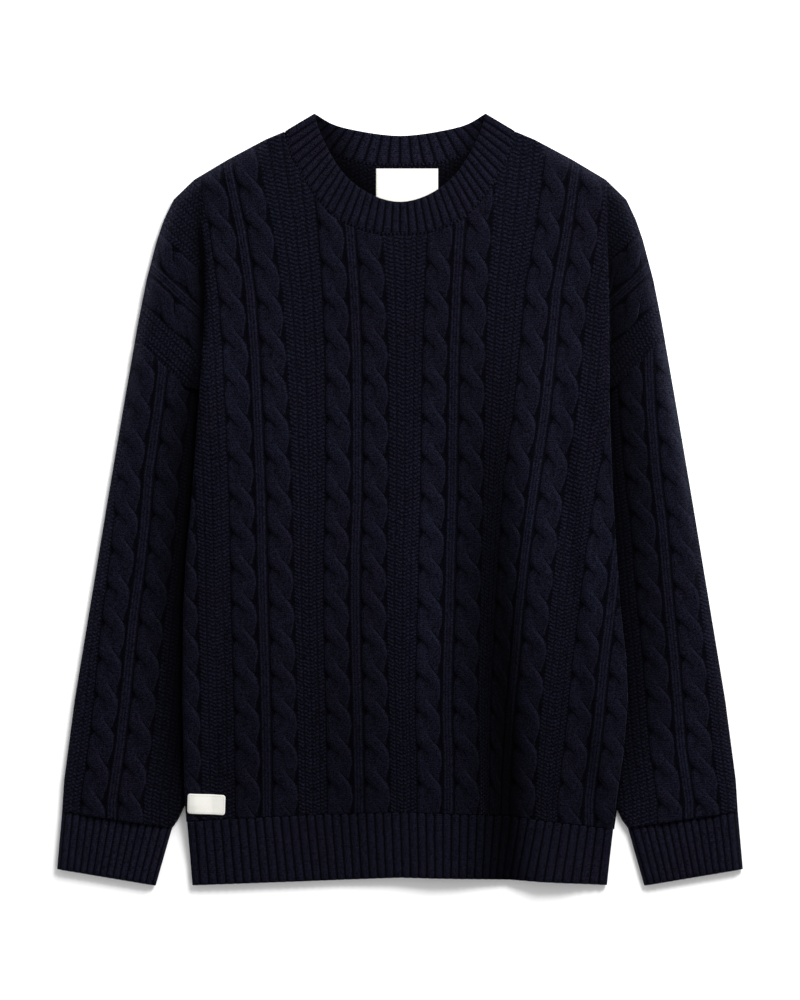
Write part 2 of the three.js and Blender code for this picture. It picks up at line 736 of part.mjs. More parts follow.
// Coarse rows over the whole panel, shared by the faces that lie on each other
const PLAIN_ROWS = [
  HEM_COURSE_Y, -276, -262, -245, -184, -120, -60, 0, 50, 88, ARMHOLE_TIP, 104, 110.5, 117.8, 126,
  ARMHOLE_TOP, 152, 185, 220, 250, 276, 294.4, 312.8, 331.2, SHOULDER_NECK.y,
];
const PLAIN_COLUMNS = [-100, -50, 0];
const FLAT_COLUMNS = [50, 100];
const VALLEY_COLUMNS = [-66, -44, -22, 0, 14, 30, 52];     // measured from the valley's floor
const CAP_COLUMN = 20;
const WHOLE_CAP_FROM = 104;    // below this a cap is too narrow for its outer column
const BENT_ROWS = 150;         // rows this far above the hem follow its courses
const COLUMN_CLEAR = 2;
const COLUMN_LEAST = 1.5;

function plainRow(y, zAt, valleyColumns) {
  const reach = (side) => {
    if (y <= ARMHOLE_TIP) return bodyEdge(side, y);
    return y <= ARMHOLE_TOP + SAME ? armholeHalf(y) : outlineHalf(y);
  };
  const left = reach(-1);
  const right = reach(1);
  const xs = [];
  for (const side of [-1, 1]) {
    const edge = bodyEdge(side, y);
    const inner = Math.min(sleeveInner(y) + LIFT_FLAT, edge - EDGE_ROLL);
    if (y > ARMHOLE_TIP) xs.push(side * (edge + CAP_COLUMN), side * edge);
    if (y > WHOLE_CAP_FROM) xs.push(side * (edge + CAP_RAMP));
    xs.push(side * inner, side * (inner - LIFT_RAMP / 2), side * (inner - LIFT_RAMP));
  }
  xs.push(...PLAIN_COLUMNS);
  if (valleyColumns) {
    const floor = read(VALLEY, "y", y, "x");
    xs.push(...VALLEY_COLUMNS.map((across) => floor + across));
  } else xs.push(...FLAT_COLUMNS);
  const clear = (x) => x > -left + COLUMN_CLEAR && x < right - COLUMN_CLEAR;
  const inside = xs.filter(clear).sort((a, b) => a - b);
  const spaced = inside.filter((x, i) => i === 0 || x - inside[i - 1] > COLUMN_LEAST);
  const all = left > 0 ? [-left, ...spaced, right] : [0];
  return all.map((x) => {
    const bent = y <= HEM_COURSE_Y + BENT_ROWS ? bentY(x, y) : y;
    return new THREE.Vector3(x, bent, zAt(x, bent));
  });
}

const plainRows = (zAt, valleyColumns) => PLAIN_ROWS.map((y) => plainRow(y, zAt, valleyColumns));

// Triangles between rows, which face up
function rowFaces(rows, measure = byX) {
  const triangles = [];
  for (let i = 1; i < rows.length; i++) zip(rows[i], rows[i - 1], measure, triangles);
  return triangles;
}

// The stretches of a panel's border, corner to corner, anticlockwise from the left end of the hem
function borderOfRows(rows) {
  const tip = PLAIN_ROWS.indexOf(ARMHOLE_TIP);
  const cap = PLAIN_ROWS.indexOf(ARMHOLE_TOP);
  const top = rows.length - 1;
  const rightEnds = rows.map((row) => row[row.length - 1]);
  const leftEnds = rows.map((row) => row[0]);
  return [
    rows[0],
    rightEnds.slice(0, tip + 1),
    rightEnds.slice(tip, cap + 1),
    rightEnds.slice(cap),
    [...rows[top]].reverse(),
    leftEnds.slice(cap).reverse(),
    leftEnds.slice(tip, cap + 1).reverse(),
    leftEnds.slice(0, tip + 1).reverse(),
  ];
}

function frontPanel() {
  const triangles = [];
  const lines = frontLines();
  for (let i = 1; i < lines.length; i++) zip(lines[i - 1], lines[i], byY, triangles);

  const first = lines[0];
  const last = lines[lines.length - 1];
  const leftCap = capRows(-1, first).map((row) => [...row].reverse());
  const rightCap = capRows(1, last);
  triangles.push(...rowFaces(leftCap), ...rowFaces(rightCap));

  const under = plainRows(frontUnder, true);
  triangles.push(...flipped(rowFaces(under)));

  const hem = lines.map((line) => line[0]);
  const sideOf = (line) => line.filter((p) => p.y <= ARMHOLE_TIP + SAME);
  const capRow = CAP_ROWS.indexOf(ARMHOLE_TOP);
  const leftEnds = leftCap.map((row) => row[0]);
  const rightEnds = rightCap.map((row) => row[row.length - 1]);
  const tops = lines.map((line) => line[line.length - 1]);
  const rightOfNeck = tops.findIndex((p) => p.x > SHOULDER_NECK.half);
  const leftOfNeck = tops.filter((p) => p.x < -SHOULDER_NECK.half).length - 1;
  const border = [
    hem,
    sideOf(last),
    rightEnds.slice(0, capRow + 1),
    [...rightEnds.slice(capRow), ...tops.slice(rightOfNeck, -1).reverse()],
    tops.slice(leftOfNeck, rightOfNeck + 1).reverse(),
    [...leftEnds.slice(capRow), ...tops.slice(1, leftOfNeck + 1)].reverse(),
    leftEnds.slice(0, capRow + 1).reverse(),
    sideOf(first).reverse(),
  ];
  joinBorders(border, borderOfRows(under), triangles);
  const solid = toManifold(geometryOf(triangles));
  return fromManifold(solid.subtract(neckCut(FRONT_NECK_SEAM, FRONT_NECK_RIBS)));
}

// Outer face of the back where it lies on the surface, rounded up to the side seam
function backPanel() {
  const top = plainRows((x, y) => WALL + sideLift(x, y), true);
  const bottom = plainRows(sideLift, false).map(roundedRow);
  const triangles = [...rowFaces(top), ...flipped(rowFaces(bottom, byWidth))];
  joinBorders(borderOfRows(top), borderOfRows(bottom), triangles);
  const solid = toManifold(geometryOf(triangles));
  return fromManifold(solid.subtract(neckCut(BACK_NECK_SEAM, BACK_NECK_RIBS)));
}

// The same row with its two ends curved up
function roundedRow(row) {
  const left = row[0];
  const right = row[row.length - 1];
  const shifted = (end, side) => UNDER_STEPS.map(({ inward, height }) => (
    new THREE.Vector3(end.x + side * inward, end.y, end.z + height)
  ));
  const clear = UNDER_ROLL + COLUMN_CLEAR;
  const inner = row.filter((p) => p.x > left.x + clear && p.x < right.x - clear);
  return [...shifted(left, 1), ...inner, ...shifted(right, -1).reverse()];
}

// Points at equal lengths along a neck curve, from left to right
function neckPoints(table, spans) {
  const left = table.map(({ half, y }) => new THREE.Vector3(-half, y, 0));
  const right = table.slice(0, -1).map(({ half, y }) => new THREE.Vector3(half, y, 0));
  const curve = new THREE.CatmullRomCurve3([...left, ...right.reverse()], false, "centripetal");
  return curve.getSpacedPoints(spans);
}

// What a neck opening cuts out of a panel
function neckCut(seam, ribs) {
  const above = SHOULDER_NECK.y + CUT_OVER;
  const points = neckPoints(seam, ribs * 2);
  const corners = [
    new THREE.Vector3(points[points.length - 1].x, above, 0),
    new THREE.Vector3(points[0].x, above, 0),
  ];
  return prism([...points, ...corners]);
}

// A rib knit band between two curves; each row has one rib or one groove
function neckBand({ seam, edge, ribs, under, ribAt }) {
  const outer = neckPoints(seam, ribs * 2);
  const inner = neckPoints(edge, ribs * 2);
  const sections = outer.map((seamPoint, i) => {
    const edgePoint = inner[i];
    const across = new THREE.Vector3().subVectors(edgePoint, seamPoint);
    const from = seamPoint.clone().addScaledVector(across, SEAM_GAP / across.length());
    const rib = i % 2 === 1 ? NECK_RIB_HEIGHT * ribAt(seamPoint) : 0;
    const at = (share, up) => {
      const p = new THREE.Vector3().lerpVectors(from, edgePoint, share);
      p.z = under(p, share) + up;
      return p;
    };
    return NECK_SECTION.map((row) => at(row.across, NECK_BAND_THICK * row.thick + rib * row.rib));
  });
  return lofted(sections);
}

// A solid through closed sections of equal point counts
function lofted(sections) {
  const triangles = [];
  const count = sections[0].length;
  for (let i = 1; i < sections.length; i++) {
    for (let k = 0; k < count; k++) {
      const next = (k + 1) % count;
      triangles.push([sections[i - 1][k], sections[i - 1][next], sections[i][next]]);
      triangles.push([sections[i - 1][k], sections[i][next], sections[i][k]]);
    }
  }
  const first = sections[0];
  const last = sections[sections.length - 1];
  for (let k = 1; k < count - 1; k++) {
    triangles.push([first[0], first[k + 1], first[k]]);
    triangles.push([last[0], last[k], last[k + 1]]);
  }
  const geometry = geometryOf(triangles);
  if (toManifold(geometry).volume() > 0) return geometry;
  return geometryOf(flipped(triangles));
}

const frontBand = () => neckBand({
  seam: FRONT_NECK_SEAM,
  edge: FRONT_NECK_EDGE,
  ribs: FRONT_NECK_RIBS,
  under: (p, share) => {
    const open = smooth((OPEN_NECK.half - Math.abs(p.x)) / OPEN_NECK.frontFade);
    return FRONT_UNDER + BAND_CLEAR + LABEL_ROOM * share * open;
  },
  ribAt: () => 1,
});

const backBand = () => neckBand({
  seam: BACK_NECK_SEAM,
  edge: BACK_NECK_EDGE,
  ribs: BACK_NECK_RIBS,
  under: () => 0,
  ribAt: (p) => BACK_RIB_SHARE * smooth((OPEN_NECK.half - Math.abs(p.x)) / OPEN_NECK.backFade),
});

// Height of a sleeve above its own plain wall: it swells between its outer edge and the body
function sleeveCrest(side, half, y) {
  const edge = bodyEdge(side, y);
  const share = clamp((half - edge) / (outlineHalf(y) - edge), 0, 1);
  return SLEEVE_CREST * Math.sin(Math.PI * share ** 0.8);
}

function sleeveTop(side, half, y) {
  const middle = SLEEVE_THICK / 2;
  const offset = side * (half - read(SLEEVE_RIBS, "y", y, sideName(side)));
  const turns = (SLEEVE_FIRST_CROSSING - y) / SLEEVE_CROSSING;
  const bare = smooth((half - bodyEdge(side, y) - 1) / 3);
  const full = SLEEVE_THICK + sleeveCrest(side, half, y) + pairHeight(offset, turns) * bare;
  const inward = Math.min(outlineHalf(y) - half, (half - sleeveInner(y)) * EDGE_ROLL / SLEEVE_INNER_ROLL);
  return middle + (full - middle) * roll(inward, EDGE_ROLL);
}

// Courses of a sleeve tilt to its cuff seam
function sleeveY(half, y) {
  const share = smooth((SLEEVE_TILT_FADE - y) / (SLEEVE_TILT_FADE - CUFF_SEAM.outerY));
  const tilt = (CUFF_SEAM.innerY - CUFF_SEAM.outerY) / (CUFF_TOP.outer - CUFF_TOP.inner);
  return y + tilt * (CUFF_TOP.outer - half) * share;
}

// Where a lengthwise line of the sleeve meets one of its courses
function sleevePlace(halfAt, course) {
  let y = course;
  for (let round = 0; round < 8; round++) y = sleeveY(halfAt(y), course);
  return { half: halfAt(y), y };
}

function sleeveLine(side, halfAt, step) {
  const line = [];
  for (let i = 0; ; i++) {
    const course = CUFF_SEAM.outerY + i * FINE * SLEEVE_CROSSING;
    if (course > SLEEVE_TOP) break;
    if ((i * FINE) % step !== 0) continue;
    const { half, y } = sleevePlace(halfAt, course);
    line.push(new THREE.Vector3(side * half, y, sleeveTop(side, half, y)));
  }
  const half = halfAt(SLEEVE_TOP);
  line.push(new THREE.Vector3(side * half, SLEEVE_TOP, sleeveTop(side, half, SLEEVE_TOP)));
  return line;
}

function sleeve(side) {
  const pattern = PAIR_LINES.map(({ offset, step }) => ({ offset: -offset, step }));
  pattern.unshift({ offset: PAIR_HALF + TEXTURE_STEP, step: WHOLE_CROSSING });
  pattern.push({ offset: -PAIR_HALF - TEXTURE_STEP, step: WHOLE_CROSSING });
  const hiddenLine = (y) => Math.max(sleeveInner(y) + SLEEVE_HIDDEN_LINE, bodyEdge(side, y) - 1);
  const lines = [
    ...EDGE_STEPS.map((inward) => sleeveLine(side, (y) => outlineHalf(y) - inward, HALF_CROSSING)),
    ...pattern.map(({ offset, step }, index) => {
      const free = (y) => read(SLEEVE_RIBS, "y", y, sideName(side)) + offset;
      const low = (y) => Math.max(
        bodyEdge(side, y) + LINE_SPACE * (pattern.length - index),
        sleeveInner(y) + SLEEVE_INNER_ROLL,
      );
      const high = (y) => outlineHalf(y) - EDGE_ROLL - LINE_SPACE * index;
      return sleeveLine(side, (y) => clamp(free(y), low(y), high(y)), step);
    }),
    sleeveLine(side, hiddenLine, HALF_CROSSING),
    ...SLEEVE_INNER_LINES.map((inward) => sleeveLine(side, (y) => sleeveInner(y) + inward, HALF_CROSSING)),
  ];
  const ordered = side < 0 ? lines : [...lines].reverse();
  const triangles = [];
  for (let i = 1; i < ordered.length; i++) zip(ordered[i - 1], ordered[i], byY, triangles);

  const bottomLines = [
    { halfAt: (y) => outlineHalf(y) - TUBE_FOOT.inward, z: TUBE_FOOT.height },
    { halfAt: (y) => outlineHalf(y) - UNDER_ROLL, z: 0 },
    { halfAt: (y) => (outlineHalf(y) + sleeveInner(y)) / 2, z: 0 },
    { halfAt: (y) => sleeveInner(y) + UNDER_ROLL, z: 0 },
    { halfAt: (y) => sleeveInner(y) + TUBE_FOOT.inward, z: TUBE_FOOT.height },
  ];
  const bottom = SLEEVE_ROWS.map((course) => {
    const row = bottomLines.map(({ halfAt, z }) => {
      const { half, y } = sleevePlace(halfAt, course);
      return new THREE.Vector3(side * half, y, z);
    });
    return side < 0 ? row : row.reverse();
  });
  triangles.push(...flipped(rowFaces(bottom)));
  joinBorders(borderOfLines(ordered), simpleBorder(bottom), triangles);
  const solid = toManifold(geometryOf(triangles));
  const crest = (half, y) => sleeveCrest(side, half, y);
  const slit = flatSlit(side, SLEEVE_ROWS, outlineHalf, sleeveInner, crest);
  return fromManifold(solid.subtract(slit).subtract(armholeCut(side)));
}

// Border of a face made of lines that run up, anticlockwise from its lower left corner
function borderOfLines(lines) {
  const first = lines[0];
  const last = lines[lines.length - 1];
  return [
    lines.map((line) => line[0]),
    last,
    lines.map((line) => line[line.length - 1]).reverse(),
    [...first].reverse(),
  ];
}

// The same for a face made of rows that run to the right
function simpleBorder(rows) {
  return [
    rows[0],
    rows.map((row) => row[row.length - 1]),
    [...rows[rows.length - 1]].reverse(),
    rows.map((row) => row[0]).reverse(),
  ];
}

// The thin air between the two walls of a flat tube, longer than the tube so that both ends are open
function flatSlit(side, ys, outerAt, innerAt, crest) {
  const rows = [ys[0] - CUT_OVER, ...ys.slice(1, -1), ys[ys.length - 1] + CUT_OVER];
  const middle = SLEEVE_THICK / 2;
  const face = (up) => rows.map((y) => {
    const outer = outerAt(y) - WALL - TUBE_MARGIN;
    const inner = innerAt(y) + WALL + TUBE_MARGIN;
    const row = TUBE_PLACES.map((share, i, all) => {
      const half = lerp(outer, inner, share);
      const atEnd = i === 0 || i === all.length - 1;
      const raise = up ? SLIT / 2 + crest(half, y) : -SLIT / 2;
      return new THREE.Vector3(side * half, y, middle + (atEnd ? 0 : raise));
    });
    return side < 0 ? row : row.reverse();
  });
  const upper = face(true);
  const lower = face(false);
  const triangles = [...rowFaces(upper), ...flipped(rowFaces(lower))];
  joinBorders(simpleBorder(upper), simpleBorder(lower), triangles);
  return toManifold(geometryOf(triangles));
}

// What the armhole seam cuts off the upper end of a sleeve
function armholeCut(side) {
  const shift = SEAM_GAP;
  const seam = ARMHOLE.map(({ half, y }) => new THREE.Vector3(side * (half + shift), y - shift, 0));
  const outside = ARMHOLE[0].half + CUT_OVER;
  const inside = ARMHOLE[ARMHOLE.length - 1];
  const points = [
    new THREE.Vector3(side * outside, ARMHOLE[0].y - shift, 0),
    ...seam,
    new THREE.Vector3(side * (inside.half - CUT_OVER), inside.y - ARMHOLE_INNER_FALL, 0),
    new THREE.Vector3(side * (inside.half - CUT_OVER), SLEEVE_TOP + CUT_OVER, 0),
    new THREE.Vector3(side * outside, SLEEVE_TOP + CUT_OVER, 0),
  ];
  return prism(side < 0 ? points : points.reverse());
}

// A cuff: a flat rib knit tube
function cuff(side) {
  const placed = (acrossShare, downShare) => {
    const half = lerp(
      lerp(CUFF_TOP.outer, CUFF_TOP.inner, acrossShare),
      lerp(CUFF_BOTTOM.outer, CUFF_BOTTOM.inner, acrossShare),
      downShare,
    );
    const from = lerp(CUFF_SEAM.outerY, CUFF_SEAM.innerY, acrossShare) - SEAM_GAP;
    const to = lerp(CUFF_EDGE.outerY, CUFF_EDGE.innerY, acrossShare);
    return new THREE.Vector3(side * half, lerp(from, to, downShare), 0);
  };
  const width = CUFF_BOTTOM.outer - CUFF_BOTTOM.inner;
  const shares = [...CUFF_EDGE_PLACES];
  const ribbed = CUFF_EDGE_PLACES[2];
  for (let i = 1; i < CUFF_RIBS * 2; i++) shares.push(lerp(ribbed, 1 - ribbed, i / (CUFF_RIBS * 2)));
  shares.push(...CUFF_EDGE_PLACES.map((share) => 1 - share).reverse());
  const lines = shares.map((across, i) => CUFF_ROWS.top.map((down) => {
    const p = placed(across, down);
    const rib = i > 2 && i < shares.length - 3 && i % 2 === 1 ? CUFF_RIB_HEIGHT : 0;
    const inward = Math.min(across, 1 - across) * width;
    const middle = SLEEVE_THICK / 2;
    const edgeDrop = down === 1 ? CUFF_EDGE_DROP : 0;
    p.z = middle + (SLEEVE_THICK + rib - edgeDrop - middle) * roll(inward, EDGE_ROLL);
    return p;
  }));
  const ordered = side < 0 ? lines : [...lines].reverse();
  const triangles = [];
  for (let i = 1; i < ordered.length; i++) zip(ordered[i - 1], ordered[i], byIndex, triangles);
  const bottom = CUFF_ROWS.bottom.map((down) => {
    const row = CUFF_BOTTOM_PLACES.map((across, i, all) => {
      const p = placed(across, down);
      p.z = i === 0 || i === all.length - 1 ? TUBE_FOOT.height : 0;
      return p;
    });
    return side < 0 ? row : row.reverse();
  });
  triangles.push(...flipped(rowFaces(bottom)));
  joinBorders(borderOfLines(ordered), simpleBorder(bottom), triangles);
  const solid = toManifold(geometryOf(triangles));
  const outerAt = (y) => read(CUFF_SIDES, "y", y, "outer");
  const innerAt = (y) => read(CUFF_SIDES, "y", y, "inner");
  const slit = flatSlit(side, [CUFF_EDGE.innerY, CUFF_SEAM.outerY], outerAt, innerAt, () => 0);
  return fromManifold(solid.subtract(slit));
}

// A point of the hem band, by its place along the seam and its share of the way down
const HEM_LEFT = -bodyEdge(-1, HEM_SIDE_TOP);
const HEM_RIGHT = bodyEdge(1, HEM_SIDE_TOP);

function hemPoint(xTop, downShare) {
  const xLow = read(HEM_LEAN, "top", xTop, "bottom");
  const x = lerp(xTop, xLow, downShare);
  const y = lerp(hemSeam(x) - SEAM_GAP, hemEdge(x), downShare);
  return new THREE.Vector3(x, y, 0);
}

const hemInward = (xTop) => Math.min(xTop - HEM_LEFT, HEM_RIGHT - xTop);

const HEM_ROWS = { top: [1, 0.95, 0.5, 0], plain: [1, 0.5, 0] };
const HEM_COLUMNS = [-180, -165, -130, -100, -50, 0, 34, 56, 78, 100, 114, 130, 152, 180];

function hemFront() {
  const start = HEM_LEFT + UNDER_ROLL;
  const end = HEM_RIGHT - UNDER_ROLL;
  const places = [HEM_LEFT, HEM_LEFT + EDGE_STEPS[1], start];
  for (let i = 1; i < HEM_RIBS * 2; i++) places.push(lerp(start, end, i / (HEM_RIBS * 2)));
  places.push(end, HEM_RIGHT - EDGE_STEPS[1], HEM_RIGHT);
  const lines = places.map((xTop, i) => HEM_ROWS.top.map((down) => {
    const p = hemPoint(xTop, down);
    const rib = i > 2 && i < places.length - 3 && i % 2 === 1 ? HEM_RIB_HEIGHT : 0;
    const edgeDrop = down === 1 ? HEM_EDGE_DROP : 0;
    const low = frontUnder(p.x, p.y) + RIM;
    p.z = low + (WALL - RIM + rib - edgeDrop) * roll(hemInward(xTop), EDGE_ROLL);
    return p;
  }));
  const triangles = [];
  for (let i = 1; i < lines.length; i++) zip(lines[i - 1], lines[i], byIndex, triangles);
  const under = hemPlainRows(frontUnder);
  triangles.push(...flipped(rowFaces(under)));
  joinBorders(borderOfLines(lines), simpleBorder(under), triangles);
  return geometryOf(triangles);
}

const hemPlainRows = (zAt) => HEM_ROWS.plain.map((down) => (
  [HEM_LEFT, ...HEM_COLUMNS, HEM_RIGHT].map((xTop) => {
    const p = hemPoint(xTop, down);
    p.z = zAt(p.x, p.y);
    return p;
  })
));

function hemBack() {
  const top = hemPlainRows((x, y) => WALL + sideLift(x, y));
  const bottom = hemPlainRows(sideLift).map(roundedRow);
  const triangles = [...rowFaces(top), ...flipped(rowFaces(bottom, byWidth))];
  joinBorders(simpleBorder(top), simpleBorder(bottom), triangles);
  return geometryOf(triangles);
}

const byIndex = (line, index) => index / (line.length - 1);

// A thin label over a grid of places, with an even thickness
function plate(rows, thick) {
  const lifted = rows.map((row) => row.map((p) => new THREE.Vector3(p.x, p.y, p.z + thick)));
  const triangles = [...rowFaces(lifted), ...flipped(rowFaces(rows))];
  joinBorders(simpleBorder(lifted), simpleBorder(rows), triangles);
  return geometryOf(triangles);
}

function neckLabel() {
  const { left, right, top, bottom } = NECK_LABEL;
  const z = WALL + SEAM_GAP;
  const rows = LABEL_ROWS.map((up) => LABEL_PLACES.map((across) => {
    const bow = NECK_LABEL_BOW * (1 - (2 * across - 1) ** 2) * (1 - up);
    return new THREE.Vector3(lerp(left, right, across), lerp(bottom, top, up) - bow, z);
  }));
  return plate(rows, LABEL_THICK);
}

function hemPatch() {
  const { lowLeft, lowRight, highLeft, highRight } = PATCH_CORNERS;
  const rows = LABEL_PLACES.map((up) => PATCH_PLACES.map((across) => {
    const x = lerp(lerp(lowLeft.x, lowRight.x, across), lerp(highLeft.x, highRight.x, across), up);
    const y = lerp(lerp(lowLeft.y, lowRight.y, across), lerp(highLeft.y, highRight.y, across), up);
    return new THREE.Vector3(x, y, chestTop(x, y) + PATCH_CLEAR);
  }));
  return plate(rows, LABEL_THICK);
}

// The narrow rim between the border of an upper face and that of a lower one
function joinBorders(upper, lower, triangles) {
  upper.forEach((stretch, i) => zip(stretch, lower[i], byLength, triangles));
}

const pieces = [
  { name: "front_panel", geometry: frontPanel(), material: NAVY_WOOL },
  { name: "back_panel", geometry: backPanel(), material: NAVY_WOOL },
  { name: "sleeve_left", geometry: sleeve(-1), material: NAVY_WOOL },
  { name: "sleeve_right", geometry: sleeve(1), material: NAVY_WOOL },
  { name: "cuff_left", geometry: cuff(-1), material: NAVY_RIB },
  { name: "cuff_right", geometry: cuff(1), material: NAVY_RIB },
  { name: "hem_front", geometry: hemFront(), material: NAVY_RIB },
  { name: "hem_back", geometry: hemBack(), material: NAVY_RIB },
  { name: "neckband_front", geometry: frontBand(), material: NAVY_RIB },
  { name: "neckband_back", geometry: backBand(), material: NAVY_RIB },
  { name: "neck_label", geometry: neckLabel(), material: LABEL_CLOTH },
  { name: "hem_patch", geometry: hemPatch(), material: LABEL_CLOTH },
];

const sweater = new THREE.Group();
for (const { name, geometry, material } of pieces) {
  const mesh = new THREE.Mesh(geometry, material);
  mesh.name = name;
  sweater.add(mesh);
}
export default sweater;
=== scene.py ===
import math
import bpy
import numpy as np
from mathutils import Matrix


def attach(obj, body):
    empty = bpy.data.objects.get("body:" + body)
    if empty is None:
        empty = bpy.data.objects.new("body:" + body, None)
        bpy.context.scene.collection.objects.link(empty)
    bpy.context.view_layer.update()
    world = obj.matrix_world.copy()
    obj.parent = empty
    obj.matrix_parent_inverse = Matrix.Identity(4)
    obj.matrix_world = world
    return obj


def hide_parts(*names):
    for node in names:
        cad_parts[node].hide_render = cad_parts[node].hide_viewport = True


# A navy cable knit sweater that lies flat on its back.
# Tables and sizes are in millimetres, seen from above: x to the right, y to the neck, z up.
# "half" is a distance from the middle line.

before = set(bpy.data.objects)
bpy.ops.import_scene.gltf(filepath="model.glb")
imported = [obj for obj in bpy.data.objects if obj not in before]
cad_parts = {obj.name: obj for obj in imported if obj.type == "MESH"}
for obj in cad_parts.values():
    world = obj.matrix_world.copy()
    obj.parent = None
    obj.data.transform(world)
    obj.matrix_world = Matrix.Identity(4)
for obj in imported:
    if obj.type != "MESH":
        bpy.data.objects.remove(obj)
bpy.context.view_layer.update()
MM = 0.001

# Cloth
WALL = 3.4
SEAM_GAP = 0.3
SEAM_LINE = 0.04
RIM = 1.0
EDGE_ROLL = 7.5
UNDER_ROLL = 4.0
SLIT = 0.5
SLEEVE_THICK = 2 * WALL + SLIT
FRONT_UNDER = WALL + SEAM_GAP
EDGE_LINES = np.array([0, 0.5, 1.4, 2.8, 4.9, EDGE_ROLL])
SEAM_DIP = 1.0
HEM_DIP = 0.3
SEAM_WIDTH = 5.0
TOP_LIMIT = 345.0
BACK_TRIM = 262.0
ROW_CLEAR = 0.9
COLUMN_CLEAR = 0.4

# Knit pattern: a rib between two cables, repeated at PAIR_PITCH with columns of small bumps between
RIB_HALF = 3.2
RIB_END = 5.6
RIB_FOOT = 5.9
RIB_HEIGHT = 1.6
CABLE_CENTRE = 17.2
PAIR_HALF = 28.5
PAIR_PITCH = 88.0
COLUMN_WIDTH = (PAIR_PITCH - 2 * PAIR_HALF) / 4
TEXTURE_STEP = 2.4
TEXTURE_HEIGHT = 1.0
GROOVE_DEPTH = 0.55
GROOVE_WIDTH = 0.9
STRAND_EDGE = 11.3
STRAND_HEIGHT = 2.3
STRAND_LIFT = 1.0
STRAND_ROUND = 2.8
FRONT_LEFT = (-STRAND_EDGE, 0.0, 0.36, 0.86)
FRONT_RIGHT = (-1.0, 10.0, 0.12, 0.73)
BULGE = (0.0, 1.6, 0.6, 0.95)
TAIL = (11.6, 8.8, 0.0, 0.46)
CROSSING_LENGTH = 34.5
ROWS_PER_CROSSING = 16
SQUEEZED_SHARE = 0.6

# Sleeves
SIDE_NAMES = {-1: "left", 1: "right"}
SLEEVE_CREST = 2.4
SLEEVE_INNER_ROLL = 9.0
SLEEVE_HIDDEN_LINE = 7.5
SLEEVE_CROSSING = 33.2
SLEEVE_FIRST_CROSSING = -276.0
SLEEVE_TILT_FADE = -190.0
CUFF_TOP = {"outer": 310.5, "inner": 209.3, "outer_y": -286.0, "inner_y": -300.8}
CUFF_LOW = {"outer": 315.1, "inner": 224.5, "outer_y": -339.0, "inner_y": -354.2}
CUFF_RIBS = 14
CUFF_EDGE = 0.035
CAP_END = {-1: 297.6, 1: 292.8}
NECK_SIDE = 106
CUFF_RIB_HEIGHT = 1.5

# Hem, neckband and labels
HEM_COURSE = 16
HEM_COURSE_Y = -290.0
HEM_BEND_FADE = -110.0
HEM_SIDE_TOP = -298.0
HEM_WIDTH = 390
HEM_RIBS = 48
HEM_RIB_HEIGHT = 1.6
EDGE_DROP = 1.4
FRONT_NECK_RIBS = 38
BACK_NECK_RIBS = 20
NECK_RIB_HEIGHT = 1.4
NECK_BAND_THICK = 3.4
OPEN_NECK = {"half": 58.0, "front_fade": 16.0, "back_fade": 8.0}
LABEL_ROOM = 1.5
BAND_CLEAR = 0.05
LABEL_THICK = 0.8
NECK_LABEL = {"left": -22.0, "right": 35.0, "top": 304.5, "bottom": 271.5, "bow": 1.5}
PATCH = {"left": -194.8, "right": -160.4, "bottom": -288.3, "top": -269.9, "tilt": -1.5, "clear": 0.5}
PATCH_ROUND = 2.6

# Camera and lamp, in metres
CAMERA_HEIGHT = 3.4
FRAME_HEIGHT = 0.92
SENSOR = 36.0
LAMP = {"place": (0.8, 1.25, 1.3), "size": 0.9, "energy": 64.0}


def curve(*rows):
    """Reads a short table of (key, value) rows by straight lines."""
    keys, values = np.array(sorted(rows), float).T
    return lambda at: np.interp(at, keys, values)


# Outline of shoulder, cap, sleeve and cuff: height y, half width
OUTLINE_ROWS = (
    (355.1, 78.2), (349.6, 89.7), (338.6, 106), (331.2, 123.7), (312.8, 158.2), (294.4, 189), (276, 208),
    (257.6, 216.7), (239.2, 223.1), (202.4, 232.8), (165.6, 240.1), (144.4, 243.9), (92, 253), (0, 268.6),
    (-92, 283.8), (-184, 299), (-257.6, 308.7), (-286, 310.5), (-339, 315.1),
)
outline_half = curve(*OUTLINE_ROWS)
SHOULDER_TOP = 338.6
shoulder_line = curve(*((half, y) for y, half in OUTLINE_ROWS if 0 < y <= SHOULDER_TOP))

# Folded side edges of the body: height y, half width
left_edge = curve(
    (340, 183), (245, 182.6), (213, 179.7), (172, 179.7), (131, 181.7), (88, 184.7), (4, 190.9), (-49, 196),
    (-101, 198.9), (-145, 199.2), (-184, 199.4), (-230, 198.5), (-268, 197.8), (-303, 195), (-354, 190.4),
)
right_edge = curve(
    (340, 191), (245, 190), (213, 191), (172, 192), (131, 192), (88, 192), (4, 195.4), (-49, 198.7),
    (-101, 202.4), (-145, 207.5), (-184, 208.8), (-230, 205.2), (-268, 199.6), (-303, 195), (-354, 189.5),
)

# Armhole seam: half width, height y
ARMHOLE_ROWS = (
    (246, 144.4), (236.4, 143.5), (219.9, 126), (209.8, 117.8), (197.8, 104), (184, 101), (158, 90),
)
armhole_line = curve(*ARMHOLE_ROWS)
armhole_half = curve(*((y, half) for half, y in ARMHOLE_ROWS))
ARMHOLE_TIP = 101.2
ARMHOLE_TOP = 143.5

# Inner edge of a sleeve, hidden below the body: height y, half width
sleeve_inner = curve(
    (150, 164), (74, 165.6), (0, 171), (-92, 176.6), (-184, 183), (-239, 189.5), (-279, 196.9),
    (-294.4, 204.2), (-300.8, 209),
)

